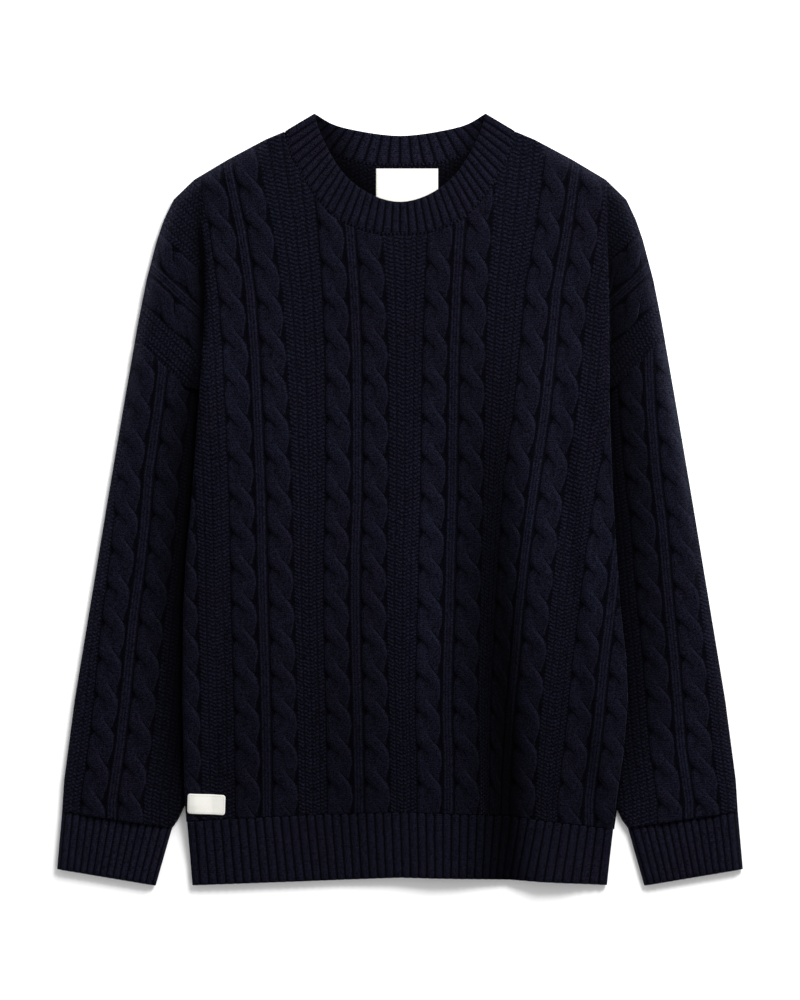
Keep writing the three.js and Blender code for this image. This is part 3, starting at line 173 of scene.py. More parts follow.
# Middle lines of the ribs: height y, then x of each rib from left to right
BODY_RIB_ROWS = (
    (330, -250, -163, -54, 61, 164, 252), (299, -245.6, -157.3, -50.6, 58, 160.1, 248.4),
    (243.8, -233.7, -145.5, -46, 54.3, 152.7, 241), (192.3, -226.3, -138, -42.3, 51.5, 143.5, 231.8),
    (130.6, -221.7, -133.4, -40, 49.3, 138, 226.3), (79.1, -219.4, -131.1, -39.6, 48.5, 132.5, 220.8),
    (3.7, -216.2, -128.1, -39.6, 47.6, 121.4, 207), (-48.8, -214.8, -127.1, -41.4, 46, 114.1, 198.7),
    (-101.2, -213.9, -126, -41.4, 44.9, 108.3, 192.6), (-154.6, -212.5, -124.4, -40.5, 43.2, 104, 186.1),
    (-198.7, -211.6, -123.3, -39, 42.7, 99.8, 182), (-237.4, -211.1, -122.8, -38.5, 44.2, 97.1, 177.6),
    (-276, -210.7, -122.4, -37.8, 44.2, 95.2, 173.1),
)
body_ribs = [curve(*((row[0], row[1 + pair]) for row in BODY_RIB_ROWS)) for pair in range(6)]
SQUEEZED_PAIR = 4
sleeve_ribs = {
    -1: curve(
        (117.8, 218.4), (81.9, 222.6), (23.9, 230.9), (-24.8, 234.6), (-66.2, 239.2), (-106.7, 244.7),
        (-142.6, 248.4), (-182.2, 252.1), (-226.3, 257.1), (-276.9, 264.5),
    ),
    1: curve(
        (117.8, 228.2), (81.9, 230), (23.9, 234.6), (-24.8, 240.7), (-66.2, 243.8), (-106.7, 247.5),
        (-142.6, 251.2), (-182.2, 254.4), (-226.3, 257.6), (-276.9, 265),
    ),
}
CAP_RIB_START = np.array((227, 211.6))
CAP_RIB_END = np.array((182.6, 170.7))

# Where the cables cross: height y, number of crossings above it
crossings_at = curve((343, -2.44), (255.8, 0), (5.5, 7), (-290, 16), (-310, 16.6))
height_of_crossing = curve((-2.44, 343), (0, 255.8), (7, 5.5), (16, -290))

# Folds: how high the sides ride on the sleeves, the pleat beside each cap, the deep valley and soft swells
LIFT_HEIGHT = SLEEVE_THICK + 0.4
LIFT_FLAT = -2
LIFT_RAMP = 18
CAP_RAMP = 40
PLEAT_RAMP = 34
CREASE_WIDTH = 6
SWELL_FADE = 40
side_share = curve(
    (152, 0), (143.5, 0.1), (117.8, 0.8), (104, 1), (-262, 1), (-280, 0.9), (-300, 0.5), (-330, 0),
)
pleat_height = curve((250, 0), (225, 2.6), (190, 4.4), (150, 5), (104, 5.2), (40, 1.6), (-20, 0))
valley_x = curve((30, 107), (-20, 105), (-60, 103.5), (-100, 102), (-184, 100), (-360, 100))
valley_depth = curve((30, 0), (-20, 0.25), (-60, 0.6), (-100, 0.9), (-184, 1))
valley_profile = curve(
    (-150, 0.4), (-105, 2.5), (-66, 6), (-44, 5), (-22, 2), (0, 0), (14, 3.8), (30, 8), (52, 6), (85, 1.5),
    (115, 0),
)
# middle x and y, half width, half length, height
SWELLS = (
    (-115, 85, 38, 90, 1.6), (136, 85, 34, 60, 1.6), (-112, -190, 36, 110, 1.4), (0, 120, 60, 90, 1.2),
)

# Seams and edges of the hem: x, height y; and how its ribs lean: x at the seam, x at the edge
hem_seam = curve((-200, -295.5), (-100, -290), (0, -286.5), (100, -290), (200, -302.7))
hem_edge = curve((-200, -354.2), (-100, -350.5), (0, -346.5), (100, -348.5), (200, -354.2))
hem_lean = curve(
    (-200, -194.6), (-195, -190.4), (-147, -141.6), (-92, -85.2), (-45, -41), (28, 29), (80, 77), (99, 92),
    (121, 110), (150, 141), (195, 189.5), (200, 194.5),
)

# Neckband curves of one side, from the shoulder to the middle: half width, height y
FRONT_NECK_SEAM = (
    (104.8, 339.2), (103.6, 323.8), (96, 307.3), (84, 287), (64.4, 262.2), (47.6, 252.1), (22, 243.8),
    (0, 242.8),
)
FRONT_NECK_EDGE = ((78.2, 355.1), (75, 342.2), (59, 310), (43.2, 291.6), (21.2, 278.3), (0, 273.8))
BACK_NECK_SEAM = ((106, 338.6), (57, 315.1), (36.8, 309.1), (0, 306.7))
BACK_NECK_EDGE = ((78.2, 355.1), (62.6, 345.9), (43.2, 340.4), (0, 334.9))


def smooth(share):
    s = np.clip(share, 0, 1)
    return s * s * (3 - 2 * s)


def bell(distance, width):
    return np.exp(-((distance / width) ** 2))


def roll(distance, width):
    """Quarter ellipse: 0 at the edge, 1 one roll width further in."""
    left = 1 - np.clip(distance / width, 0, 1)
    return np.sqrt(1 - left * left)


def even_points(table, count):
    """Points at equal lengths along a neck curve, from left to right."""
    rows = [(-half, y) for half, y in table] + [(half, y) for half, y in reversed(table[:-1])]
    knots = np.array(rows, float)
    knots = np.vstack((2 * knots[0] - knots[1], knots, 2 * knots[-1] - knots[-2]))
    fine = []
    for before, start, end, after in zip(knots, knots[1:], knots[2:], knots[3:]):
        legs = ((before, start), (start, end), (end, after))
        times = np.cumsum([0, *(np.linalg.norm(b - a) ** 0.5 for a, b in legs)])
        for t in np.linspace(times[1], times[2], 24, endpoint=False):
            first = [
                ((times[k + 1] - t) * p + (t - times[k]) * q) / (times[k + 1] - times[k])
                for k, (p, q) in enumerate(legs)
            ]
            second = [
                ((times[k + 2] - t) * first[k] + (t - times[k]) * first[k + 1]) / (times[k + 2] - times[k])
                for k in (0, 1)
            ]
            fine.append(((times[2] - t) * second[0] + (t - times[1]) * second[1]) / (times[2] - times[1]))
    fine = np.array([*fine, knots[-2]])
    lengths = np.concatenate(([0], np.cumsum(np.linalg.norm(np.diff(fine, axis=0), axis=1))))
    wanted = np.linspace(0, lengths[-1], count)
    return np.stack([np.interp(wanted, lengths, fine[:, axis]) for axis in (0, 1)], axis=1)


front_neck_points = even_points(FRONT_NECK_SEAM, 240)
back_neck_points = even_points(BACK_NECK_SEAM, 120)
front_neck = curve(*front_neck_points.tolist())
back_neck = curve(*back_neck_points.tolist())
neck_edge_half = curve(*((y, half) for half, y in FRONT_NECK_EDGE))


# The pattern

def ramp(share, low, high, start, end):
    return low + (high - low) * smooth((share - start) / (end - start))


def cable(across, turns):
    """Two strands: the front one crosses from upper left to lower right, the other tucks in behind it."""
    part = (turns + 0.5) % 1
    front_left = ramp(part, *FRONT_LEFT)
    front_right = ramp(part, *FRONT_RIGHT) + ramp(part, *BULGE)
    tucked_left = ramp(part, 4.0 - STRAND_EDGE, -STRAND_EDGE, 0.52, 0.8)
    behind_left = np.where(part < 0.5, front_right - 2.5, tucked_left)
    behind_right = np.where(part < 0.5, ramp(part, *TAIL), front_left + 2.5)
    lift = np.sin(np.pi * part)
    heights = []
    for left, right, height in (
        (front_left, front_right, STRAND_HEIGHT + STRAND_LIFT * lift),
        (behind_left, behind_right, STRAND_HEIGHT - 1.1 * STRAND_LIFT * lift ** 1.5),
    ):
        inside = np.minimum(across - left, right - across)
        heights.append(np.where(inside > 0, height * roll(inside, STRAND_ROUND), 0))
    return np.maximum(*heights)


def pattern(across, turns, repeats):
    """Height of the stitches at a distance from a rib line, that distance, and the place across its cable."""
    if repeats:
        across = (across + PAIR_PITCH / 2) % PAIR_PITCH - PAIR_PITCH / 2
    away = np.abs(across)
    rib = RIB_HEIGHT * smooth((RIB_END - away) / (RIB_END - RIB_HALF)) - 0.25 * bell(away - 1.0, 0.5)
    place = across - np.sign(across) * CABLE_CENTRE
    column = (away - PAIR_HALF) / COLUMN_WIDTH
    groove = np.abs(column - np.round(column)) * COLUMN_WIDTH
    texture = TEXTURE_HEIGHT * smooth((away - PAIR_HALF) / TEXTURE_STEP)
    texture = texture - GROOVE_DEPTH * bell(groove, GROOVE_WIDTH)
    height = np.where(away <= RIB_FOOT, rib, np.where(away <= PAIR_HALF, cable(place, turns), texture))
    return np.maximum(height, 0), away, place


PAIR_OFFSETS = np.concatenate((
    np.linspace(-PAIR_HALF, -RIB_FOOT, 17),
    [-5.1, -4.4, -3.6, -1.9, 0, 1.9, 3.6, 4.4, 5.1],
    np.linspace(RIB_FOOT, PAIR_HALF, 17),
))
COLUMN_OFFSETS = np.array([0.14, 0.38, 0.62, 0.86, 1.0]) * COLUMN_WIDTH


def texture_offsets(columns):
    return np.concatenate([PAIR_HALF + COLUMN_WIDTH * k + COLUMN_OFFSETS for k in range(columns)])


# The body

def body_edge(x, y):
    return np.where(x < 0, left_edge(y), right_edge(y))


def shoulder_y(x):
    half = np.abs(x)
    return np.where(half <= NECK_SIDE, SHOULDER_TOP, shoulder_line(half))


def side_lift(x, y):
    half = np.abs(x)
    edge = body_edge(x, y)
    height = LIFT_HEIGHT * side_share(y)
    outside = height * (1 - smooth((half - edge) / CAP_RAMP))
    flat_end = np.minimum(sleeve_inner(y) + LIFT_FLAT, edge - EDGE_ROLL)
    return np.where(half > edge, outside, height * (1 - smooth((flat_end - half) / LIFT_RAMP)))


def pleat_rise(x, y):
    half = np.abs(x)
    edge = body_edge(x, y)
    return np.where(half > edge, 0, pleat_height(y) * (1 - smooth((edge - half) / PLEAT_RAMP)))


def swell(x, y):
    height = valley_profile(x - valley_x(y)) * valley_depth(y)
    for middle_x, middle_y, wide, long, rise in SWELLS:
        height = height + rise * (1 - smooth(np.hypot((x - middle_x) / wide, (y - middle_y) / long)))
    return height * smooth((body_edge(x, y) - np.abs(x)) / SWELL_FADE)


def front_under(x, y):
    return FRONT_UNDER + side_lift(x, y) + swell(x, y)


def cap_pattern(x, y):
    """Distances across and along the pair of cables of a shoulder cap, which runs down towards the body."""
    along = (CAP_RIB_END - CAP_RIB_START) / np.linalg.norm(CAP_RIB_END - CAP_RIB_START)
    from_start = np.stack((np.abs(x) - CAP_RIB_START[0], y - CAP_RIB_START[1]))
    across = along[0] * from_start[1] - along[1] * from_start[0]
    return across, along[0] * from_start[0] + along[1] * from_start[1]


def cap_top(x, y):
    half = np.abs(x)
    across, down = cap_pattern(x, y)
    relief, _, _ = pattern(across, down / SLEEVE_CROSSING, False)
    crease = smooth((half - body_edge(x, y)) / CREASE_WIDTH)
    low = front_under(x, y) + RIM
    return low + (WALL - RIM + relief * crease) * roll(outline_half(y) - half, EDGE_ROLL)


def patch_flat(x, y):
    return np.where((x < PATCH["right"] + 8) & (y < PATCH["top"] + 18), 0.0, 1.0)


def chest_top(x, y, relief):
    side_edge = np.where(x < 0, -left_edge(y), right_edge(y))
    inward = np.abs(side_edge) - np.abs(x)
    thin = front_under(x, y) + RIM
    low = np.where(y <= ARMHOLE_TIP, thin, cap_top(side_edge, y))
    full = front_under(x, y) + WALL + pleat_rise(x, y) + relief * patch_flat(x, y)
    rolled = low + (full - low) * roll(inward, EDGE_ROLL)
    return thin + (rolled - thin) * roll(shoulder_y(x) - y, EDGE_ROLL)


def rib_xs(y):
    """x of every rib at a height, with one more on each side."""
    ribs = [rib(y) for rib in body_ribs]
    return np.stack([ribs[0] - PAIR_PITCH, *ribs, ribs[-1] + PAIR_PITCH])


def body_place(fabric, y):
    """x of a place in the knit, counted in fabric millimetres from the first rib."""
    fabric, y = np.broadcast_arrays(fabric, y)
    ribs = rib_xs(y)
    pair = np.floor((fabric + PAIR_PITCH / 2) / PAIR_PITCH).astype(int)
    offset = fabric - pair * PAIR_PITCH
    room = ribs[SQUEEZED_PAIR + 1] - ribs[SQUEEZED_PAIR] - PAIR_HALF
    squeeze = np.minimum(1, room * SQUEEZED_SHARE / PAIR_HALF)

    def rib_at(index):
        return np.take_along_axis(ribs, np.clip(index + 1, 0, 7)[None], 0)[0]

    def left_reach(index):
        return PAIR_HALF * np.where(index == SQUEEZED_PAIR, squeeze, 1)

    near = rib_at(pair) + offset * np.where((pair == SQUEEZED_PAIR) & (offset < 0), squeeze, 1)
    right_of = np.where(offset > 0, pair, pair - 1)
    start = rib_at(right_of) + PAIR_HALF
    end = rib_at(right_of + 1) - left_reach(right_of + 1)
    share = (fabric - right_of * PAIR_PITCH - PAIR_HALF) / (PAIR_PITCH - 2 * PAIR_HALF)
    return np.where(np.abs(offset) <= PAIR_HALF, near, start + (end - start) * share)


def bent_y(x, y):
    """Courses of the knit bend down to the hem seam."""
    share = smooth((HEM_BEND_FADE - y) / (HEM_BEND_FADE - HEM_COURSE_Y))
    return y + (hem_seam(x) - HEM_COURSE_Y) * share


# Painted shade of the folds: how dark a place is painted for the shade it lies in, 1 in the open, near 0 in a
# deep fold

# painted shade spots: middle x and y, half width, half length, how much darker (below 0: lighter, a painted
# highlight)
PAINTED_SHADE_SPOTS = (
    (24, -70, 16, 125, -0.3), (140, 50, 24, 105, -0.3), (178, -35, 12, 80, -0.25),
    (-122, 90, 60, 110, -0.08), (-46, -225, 42, 120, 0.28), (-150, -240, 44, 90, 0.22),
    (30, -250, 40, 70, 0.08), (150, -230, 45, 90, 0.18), (0, 170, 90, 70, 0.1), (-180, -20, 36, 130, 0.14),
)
# overall painted shade of each piece: 1 for none, lower for painted darker
BODY_PAINTED_SHADE = 0.84
HEM_PAINTED_SHADE = 0.89
SLEEVE_PAINTED_SHADE = 0.9
NECK_PAINTED_SHADE = 0.84
CUFF_PAINTED_SHADE = 0.88
INSIDE_PAINTED_SHADE = 0.45
# painted shade along the valley: x of its darkest line, then how dark, by height y
painted_valley_shade_x = curve(
    (70, 90), (18, 94), (-55, 93), (-110, 95), (-166, 96.5), (-221, 99.5), (-276, 100.5), (-346, 99.5),
)
painted_valley_shade = curve(
    (150, 0), (70, 0.3), (20, 0.52), (-55, 0.72), (-110, 0.8), (-166, 0.84), (-240, 0.88), (-300, 0.84),
    (-355, 0.78),
)
# painted shade on each sleeve beside the body, where the body's fold shades it: how dark, then how wide, by
# height y
painted_band_shade = {
    -1: curve(
        (265, 0.2), (240, 0.7), (200, 0.84), (130, 0.84), (90, 0.86), (40, 0.9), (-230, 0.88), (-300, 0.4),
    ),
    1: curve(
        (260, 0.3), (225, 0.74), (130, 0.8), (60, 0.8), (-40, 0.78), (-130, 0.7), (-230, 0.52), (-300, 0.1),
    ),
}
painted_band_width = {
    -1: curve((240, 8), (130, 11), (90, 22), (40, 26), (-60, 27), (-300, 24)),
    1: curve((260, 24), (130, 28), (60, 34), (0, 38), (-134, 38), (-300, 22)),
}
# painted sheen along the outer fold of each side: how strong, by height y
painted_sheen_share = {
    -1: curve((355, 0.1), (300, 0.25), (240, 0.36), (160, 0.26), (0, 0.16), (-150, 0.08), (-355, 0.05)),
    1: curve(
        (355, 0.1), (300, 0.25), (200, 0.3), (80, 0.5), (0, 0.32), (-100, 0.16), (-200, 0.08), (-355, 0.06),
    ),
}
PAINTED_SHEEN_WIDTH = 7.5
# painted shade in the crease just outside the left side edge of the body, by height y
painted_crease_shade = curve((285, 0), (255, 0.55), (235, 0.8), (180, 0.85), (150, 0.5), (120, 0))


# Painted shade and light on the front: darker along the valley, in the crease beside the left cap and in some
# spots, paler on some crests; the caps take the sleeves' painted shade.
def body_painted_shade(x, y):
    away = x - painted_valley_shade_x(y)
    painted_lit_share = 1 - painted_valley_shade(y) * bell(away, np.where(away < 0, 38, 16))
    for middle_x, middle_y, wide, long, dark in PAINTED_SHADE_SPOTS:
        painted_lit_share = painted_lit_share * (1 - dark * bell(np.hypot((x - middle_x) / wide, (y - middle_y) / long), 1))
    outside = np.abs(x) - body_edge(x, y)
    painted_lit_share = painted_lit_share * (1 - np.where(x < 0, painted_crease_shade(y), 0) * bell(outside - 1, 3.6))
    return BODY_PAINTED_SHADE * painted_lit_share * np.where(outside > 0, side_painted_shade(x, y) / SLEEVE_PAINTED_SHADE, 1)


def side_painted_shade(x, y):
    """Painted shade on the sleeve or cap beside the body, where the fold of the body shades it."""
    outside = np.abs(x) - body_edge(x, y)
    dark, width = (np.where(x < 0, table[-1](y), table[1](y)) for table in (painted_band_shade, painted_band_width))
    return SLEEVE_PAINTED_SHADE * (1 - dark * bell(np.maximum(outside, 0), width))


# Painted shade on the back's inside and the back neckband, darkest next to the front band's inner edge.
def neck_painted_shade(x, y):
    inside = neck_edge_half(y) - np.abs(x)
    return 0.93 * (1 - np.where(x < 0, 0.75, 0.6) * bell(np.maximum(inside, 0), np.where(x < 0, 22, 14)))


def painted_edge_sheen(x, y):
    """Painted sheen: a paler colour along the outer fold of the sleeves and shoulders, where light grazes the
    rolled edge.
    """
    half = np.abs(x)
    side = np.where(x < 0, painted_sheen_share[-1](y), painted_sheen_share[1](y))
    above = np.where(half > NECK_SIDE, shoulder_y(x) - y, 99)
    inward = np.maximum(np.minimum(outline_half(y) - half, above * 0.8), 0)
    outer = (half > NECK_SIDE) & (half > body_edge(x, y) - 60)
    return np.where(outer, side * bell(inward, PAINTED_SHEEN_WIDTH), 0)


# Meshes

class Shell:
    """Points in millimetres and faces; each point has the height of the wall's other side and its knit."""

    def __init__(self):
        self.points = []
        self.under = []
        self.fabric = []
        self.stitch = []
        self.faces = []
        self.count = 0

    def add(self, x, y, z, under=0.0, fabric=None, stitch=None):
        """Adds points and gives back their numbers, in the same rows and columns."""
        x, y, z, under = np.broadcast_arrays(x, y, z, under)
        numbers = self.count + np.arange(x.size).reshape(x.shape)
        self.points.append(np.stack([a.ravel() for a in (x, y, z)], axis=1))
        self.under.append(under.ravel())
        for store, pair in ((self.fabric, fabric or (x, y)), (self.stitch, stitch or (x, y * 0))):
            store.append(np.stack([np.broadcast_to(a, x.shape).ravel() for a in pair], axis=1))
        self.count += x.size
        return numbers

    def places(self, numbers):
        return np.concatenate(self.points)[numbers].T

    def grid(self, index, upwards=True):
        """Faces between rows (up the page) and columns (to the right); where points coincide, triangles."""
        around = (index[:-1, :-1], index[:-1, 1:], index[1:, 1:], index[1:, :-1])
        corners = np.stack(around, axis=-1).reshape(-1, 4)
        same = corners == np.roll(corners, -1, axis=1)
        faces = corners[~same.any(axis=1)].tolist()
        faces += [list(dict.fromkeys(row)) for row in corners[same.sum(axis=1) == 1].tolist()]
        faces = [face for face in faces if len(set(face)) == len(face) > 2]
        self.faces.extend(faces if upwards else [face[::-1] for face in faces])

    def strip(self, upper, lower, upper_at, lower_at):
        """The wall between two lines of points that both run anticlockwise round the piece."""
        i = j = 0
        while i < len(upper) - 1 or j < len(lower) - 1:
            next_upper = upper_at[i + 1] if i < len(upper) - 1 else math.inf
            next_lower = lower_at[j + 1] if j < len(lower) - 1 else math.inf
            if next_upper <= next_lower:
                face = [upper[i + 1], upper[i], lower[j]]
                i += 1
            else:
                face = [lower[j], lower[j + 1], upper[i]]
                j += 1
            if len(set(face)) == 3:
                self.faces.append([int(corner) for corner in face])

    def object(self, name, material, slot, nodes, painted_shading=lambda x, y: 1.0):
        """Makes the piece. Its last argument gives the painted shade of the folds at a place: 1 for none,
        towards 0 for painted dark.
        """
        used, corners = np.unique(np.concatenate(self.faces), return_inverse=True)
        sizes = np.cumsum([0, *(len(face) for face in self.faces)])
        faces = [corners[a:b].tolist() for a, b in zip(sizes, sizes[1:])]
        mesh = bpy.data.meshes.new(name)
        places = np.concatenate(self.points)[used]
        mesh.from_pydata((places * MM).tolist(), [], faces)
        corner_points = np.zeros(len(mesh.loops), np.int32)
        mesh.loops.foreach_get("vertex_index", corner_points)
        x, y = places[:, 0], places[:, 1]
        layers = {
            "fabric": np.concatenate(self.fabric)[used],
            "stitch": np.concatenate(self.stitch)[used],
            # the fold layer holds the painted shade of the folds and the painted sheen along the outer edges
            "fold": np.stack((painted_shading(x, y) + 0 * x, painted_edge_sheen(x, y)), axis=1),
        }
        for layer, values in layers.items():
            uv = mesh.uv_layers.new(name=layer)
            uv.uv.foreach_set("vector", values[corner_points].ravel().astype(np.float32))
        mesh.polygons.foreach_set("use_smooth", np.ones(len(mesh.polygons), bool))
        mesh.materials.append(material)
        mesh.update()
        piece = bpy.data.objects.new(name, mesh)
        bpy.context.collection.objects.link(piece)
        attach(piece, "root")
        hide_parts(*nodes)
        return piece


def thinned(count, step, ends):
    """Every step-th of a count of lines, and all of those near both ends."""
    inside = np.arange(ends, count - ends, step)
    first, last = np.arange(min(ends, count)), np.arange(max(count - ends, 0), count)
    return np.unique(np.concatenate((first, inside, last)))


def once(line):
    """A line of points without repeats."""
    return list(dict.fromkeys(line.tolist()))


def rim(index):
    """The border of a grid, anticlockwise from its lower left corner, each point once."""
    return once(np.concatenate((index[0], index[1:, -1], index[-1, -2::-1], index[-2:0:-1, 0])))


def both_faces(shell, top, row_steps, column_steps):
    """A fine upper face and a coarser lower one; gives the upper points that the lower ones lie below."""
    shell.grid(top)
    chosen = top[np.ix_(*(thinned(n, *steps) for n, steps in zip(top.shape, (row_steps, column_steps))))]
    used, at = np.unique(chosen, return_inverse=True)
    x, y, _ = shell.places(used)
    fabric = tuple(np.concatenate(shell.fabric)[used].T)
    lower = shell.add(x, y, np.concatenate(shell.under)[used], fabric=fabric)[at.reshape(chosen.shape)]
    shell.grid(lower, upwards=False)
    return chosen, lower


def close_below(shell, top, row_step, column_step, ends=1):
    """A fine upper face and a coarser underside, joined along the border."""
    chosen, below = both_faces(shell, top, (row_step, 1), (column_step, ends))
    upper, lower = rim(top), rim(below)
    twin = dict(zip(below.ravel().tolist(), chosen.ravel().tolist()))
    order = {point: at for at, point in enumerate(upper)}
    lower_at = [order[twin[point]] for point in lower]
    shell.strip([*upper, upper[0]], [*lower, lower[0]], range(len(upper) + 1), [*lower_at, len(upper)])


def settle(place, course_y, courses):
    """x and y where lengthwise lines meet the courses."""
    y = courses + 0 * place(courses)
    for _ in range(6):
        x = place(y)
        y = course_y(x, courses)
    return place(y), y


def knit_panel(shell, courses, lines, course_y, top_y, surface):
    """A panel whose columns follow the knit. lines gives its columns: edge lines, then the free columns of
    the pattern, then edge lines; a free column ends where it meets the nearest edge line."""
    left_lines, fabric, right_lines, place_left, place_free, place_right = lines
    rows = courses[:, None]
    parts = [
        settle(lambda y: place_left(left_lines, y), course_y, rows),
        settle(lambda y: place_free(fabric, y), course_y, rows),
        settle(lambda y: place_right(right_lines, y), course_y, rows),
    ]
    x, y = (np.concatenate([part[axis] for part in parts], axis=1) for axis in (0, 1))
    first, last = len(left_lines), len(left_lines) + len(fabric)

    def place(y_of_column):
        y_of_column = y_of_column[None]
        return np.concatenate((
            place_left(left_lines, y_of_column[:, :first]),
            place_free(fabric, y_of_column[:, first:last]),
            place_right(right_lines, y_of_column[:, last:]),
        ), axis=1)[0]

    low, high = np.full(x.shape[1], courses[0]), np.full(x.shape[1], TOP_LIMIT)
    for _ in range(30):
        middle = (low + high) / 2
        over = middle > top_y(place(middle))
        low, high = np.where(over, low, middle), np.where(over, middle, high)
    x, y = np.vstack((x, place(low))), np.vstack((y, low))

    knit = np.empty_like(x)
    for row in range(x.shape[0]):
        knit[row] = np.interp(x[row], x[row, first:last], fabric)
    z, under, fabric_uv, stitch_uv = surface(x, y, knit)
    numbers = shell.add(x, y, z, under, fabric_uv, stitch_uv)
    above = y > y[-1] - ROW_CLEAR
    numbers = np.where(above, numbers[-1], numbers)
    inner_x, left_x, right_x = x[:, first:last], x[:, first - 1, None], x[:, last, None]
    free = (inner_x > left_x + COLUMN_CLEAR) & (inner_x < right_x - COLUMN_CLEAR)
    on_left = inner_x < (left_x + right_x) / 2
    nearest = np.where(on_left, numbers[:, first - 1, None], numbers[:, last, None])
    numbers[:, first:last] = np.where(free, numbers[:, first:last], nearest)
    return numbers


def chest(shell):
    """The front between its two folded side edges."""
    counts = np.arange(HEM_COURSE, -2.3, -1 / ROWS_PER_CROSSING)
    one_pair = np.concatenate((PAIR_OFFSETS, texture_offsets(4)[:-1]))
    fabric = np.concatenate([pair * PAIR_PITCH + one_pair for pair in range(6)])
    fabric = fabric[(fabric >= RIB_FOOT) & (fabric <= 5 * PAIR_PITCH + PAIR_HALF)]

    def top_y(x):
        in_neck = np.abs(x) < FRONT_NECK_SEAM[0][0]
        return np.minimum(shoulder_y(x), np.where(in_neck, front_neck(x), TOP_LIMIT))

    def surface(x, y, knit):
        turns = crossings_at(y)
        relief, away, place = pattern(knit, turns, True)
        relief = np.minimum(relief, 1.1 + np.maximum(y - hem_seam(x), 0) * 0.12)
        return chest_top(x, y, relief), front_under(x, y), (away, turns), (place, relief)

    lines = (
        EDGE_LINES, fabric, EDGE_LINES[::-1],
        lambda inward, y: inward - left_edge(y),
        body_place,
        lambda inward, y: right_edge(y) - inward,
    )
    numbers = knit_panel(shell, height_of_crossing(counts), lines, bent_y, top_y, surface)
    close_below(shell, numbers, 8, 8)


def cap(shell, side):
    """A shoulder cap, from the crease beside the chest out to the armhole seam and the outline."""
    y = np.arange(ARMHOLE_TIP, CAP_END[side], 1.25)[:, None]
    crease = body_edge(side, y)
    outer = np.where(y <= ARMHOLE_TOP, armhole_half(y), outline_half(y))
    outer = np.maximum(outer, crease + 0.2)
    share = 1 - (1 - np.linspace(0, 1, 46)) ** 1.2
    half = crease + (outer - crease) * share
    x = side * half
    y = np.broadcast_to(y, x.shape)
    across, down = cap_pattern(x, y)
    turns = down / SLEEVE_CROSSING
    relief, away, place = pattern(across, turns, False)
    seam = smooth(np.where(y < ARMHOLE_TOP + 3, y - armhole_line(half), 99) / SEAM_WIDTH)
    z = cap_top(x, y) - SEAM_DIP * (1 - seam)
    if side < 0:
        x, y, z, away, turns, place, relief = (a[:, ::-1] for a in (x, y, z, away, turns, place, relief))
    numbers = shell.add(x, y, z, front_under(x, y), (away, turns), (place, relief))
    close_below(shell, numbers, 6, 6)


def front(material):
    shell = Shell()
    chest(shell)
    cap(shell, -1)
    cap(shell, 1)
    piece = shell.object("front_knit", material, "navy_wool", ["front_panel"], body_painted_shade)


def back(material):
    """The back panel. Its inside shows in the neck and its outside lies on the surface."""
    shell = Shell()
    y = np.concatenate((np.arange(HEM_COURSE_Y, 338, 6.0), [SHOULDER_TOP]))[:, None]
    outline = outline_half(np.minimum(y, BACK_TRIM))
    reach = np.where(y <= ARMHOLE_TIP, 0, np.where(y <= ARMHOLE_TOP, armhole_half(y), outline))
    left = np.maximum(reach, left_edge(y))
    right = np.maximum(reach, right_edge(y))
    inward = np.array([0, 0.5, 1.4, 2.8, UNDER_ROLL, 9])
    share = np.concatenate((inward / 400, np.linspace(0.04, 0.96, 150), 1 - inward[::-1] / 400))
    x = -left + (left + right) * share
    y = bent_y(x, y)
    top = np.minimum(shoulder_y(x), np.where(np.abs(x) < NECK_SIDE, back_neck(x), TOP_LIMIT))
    above = y >= top - 1.5
    ends = above.any(axis=0)
    last = np.where(ends, np.argmax(above, axis=0), y.shape[0] - 1)
    columns = np.arange(x.shape[1])
    y[last, columns] = np.where(ends, top[last, columns], y[last, columns])
    inside = np.minimum(x + left, right - x)
    lift = side_lift(x, y)
    under = lift + 2.6 * (1 - roll(inside, UNDER_ROLL))
    fabric = (PAIR_HALF + 1 + np.abs(x), -y / CROSSING_LENGTH)
    numbers = shell.add(x, np.minimum(y, top), WALL + lift, under, fabric, (x, 1 + 0 * x))
    border = numbers[last, columns]
    numbers = np.where(np.arange(x.shape[0])[:, None] >= last, border, numbers)
    close_below(shell, numbers, 1, 1)
    # The back's inside, seen in the neck, is painted darker for the shade there.
    piece = shell.object(
        "back_knit", material, "navy_wool", ["back_panel"], lambda x, y: INSIDE_PAINTED_SHADE * neck_painted_shade(x, y),
    )


# Sleeves and cuffs

def sleeve_crest(side, half, y):
    edge = body_edge(side, y)
    share = np.clip((half - edge) / (outline_half(y) - edge), 0, 1)
    return SLEEVE_CREST * np.sin(np.pi * share ** 0.8)


def sleeve_y(x, course):
    """Courses of a sleeve tilt to its cuff seam."""
    share = smooth((SLEEVE_TILT_FADE - course) / (SLEEVE_TILT_FADE - CUFF_TOP["outer_y"]))
    tilt = (CUFF_TOP["inner_y"] - CUFF_TOP["outer_y"]) / (CUFF_TOP["outer"] - CUFF_TOP["inner"])
    return course + tilt * (CUFF_TOP["outer"] - np.abs(x)) * share


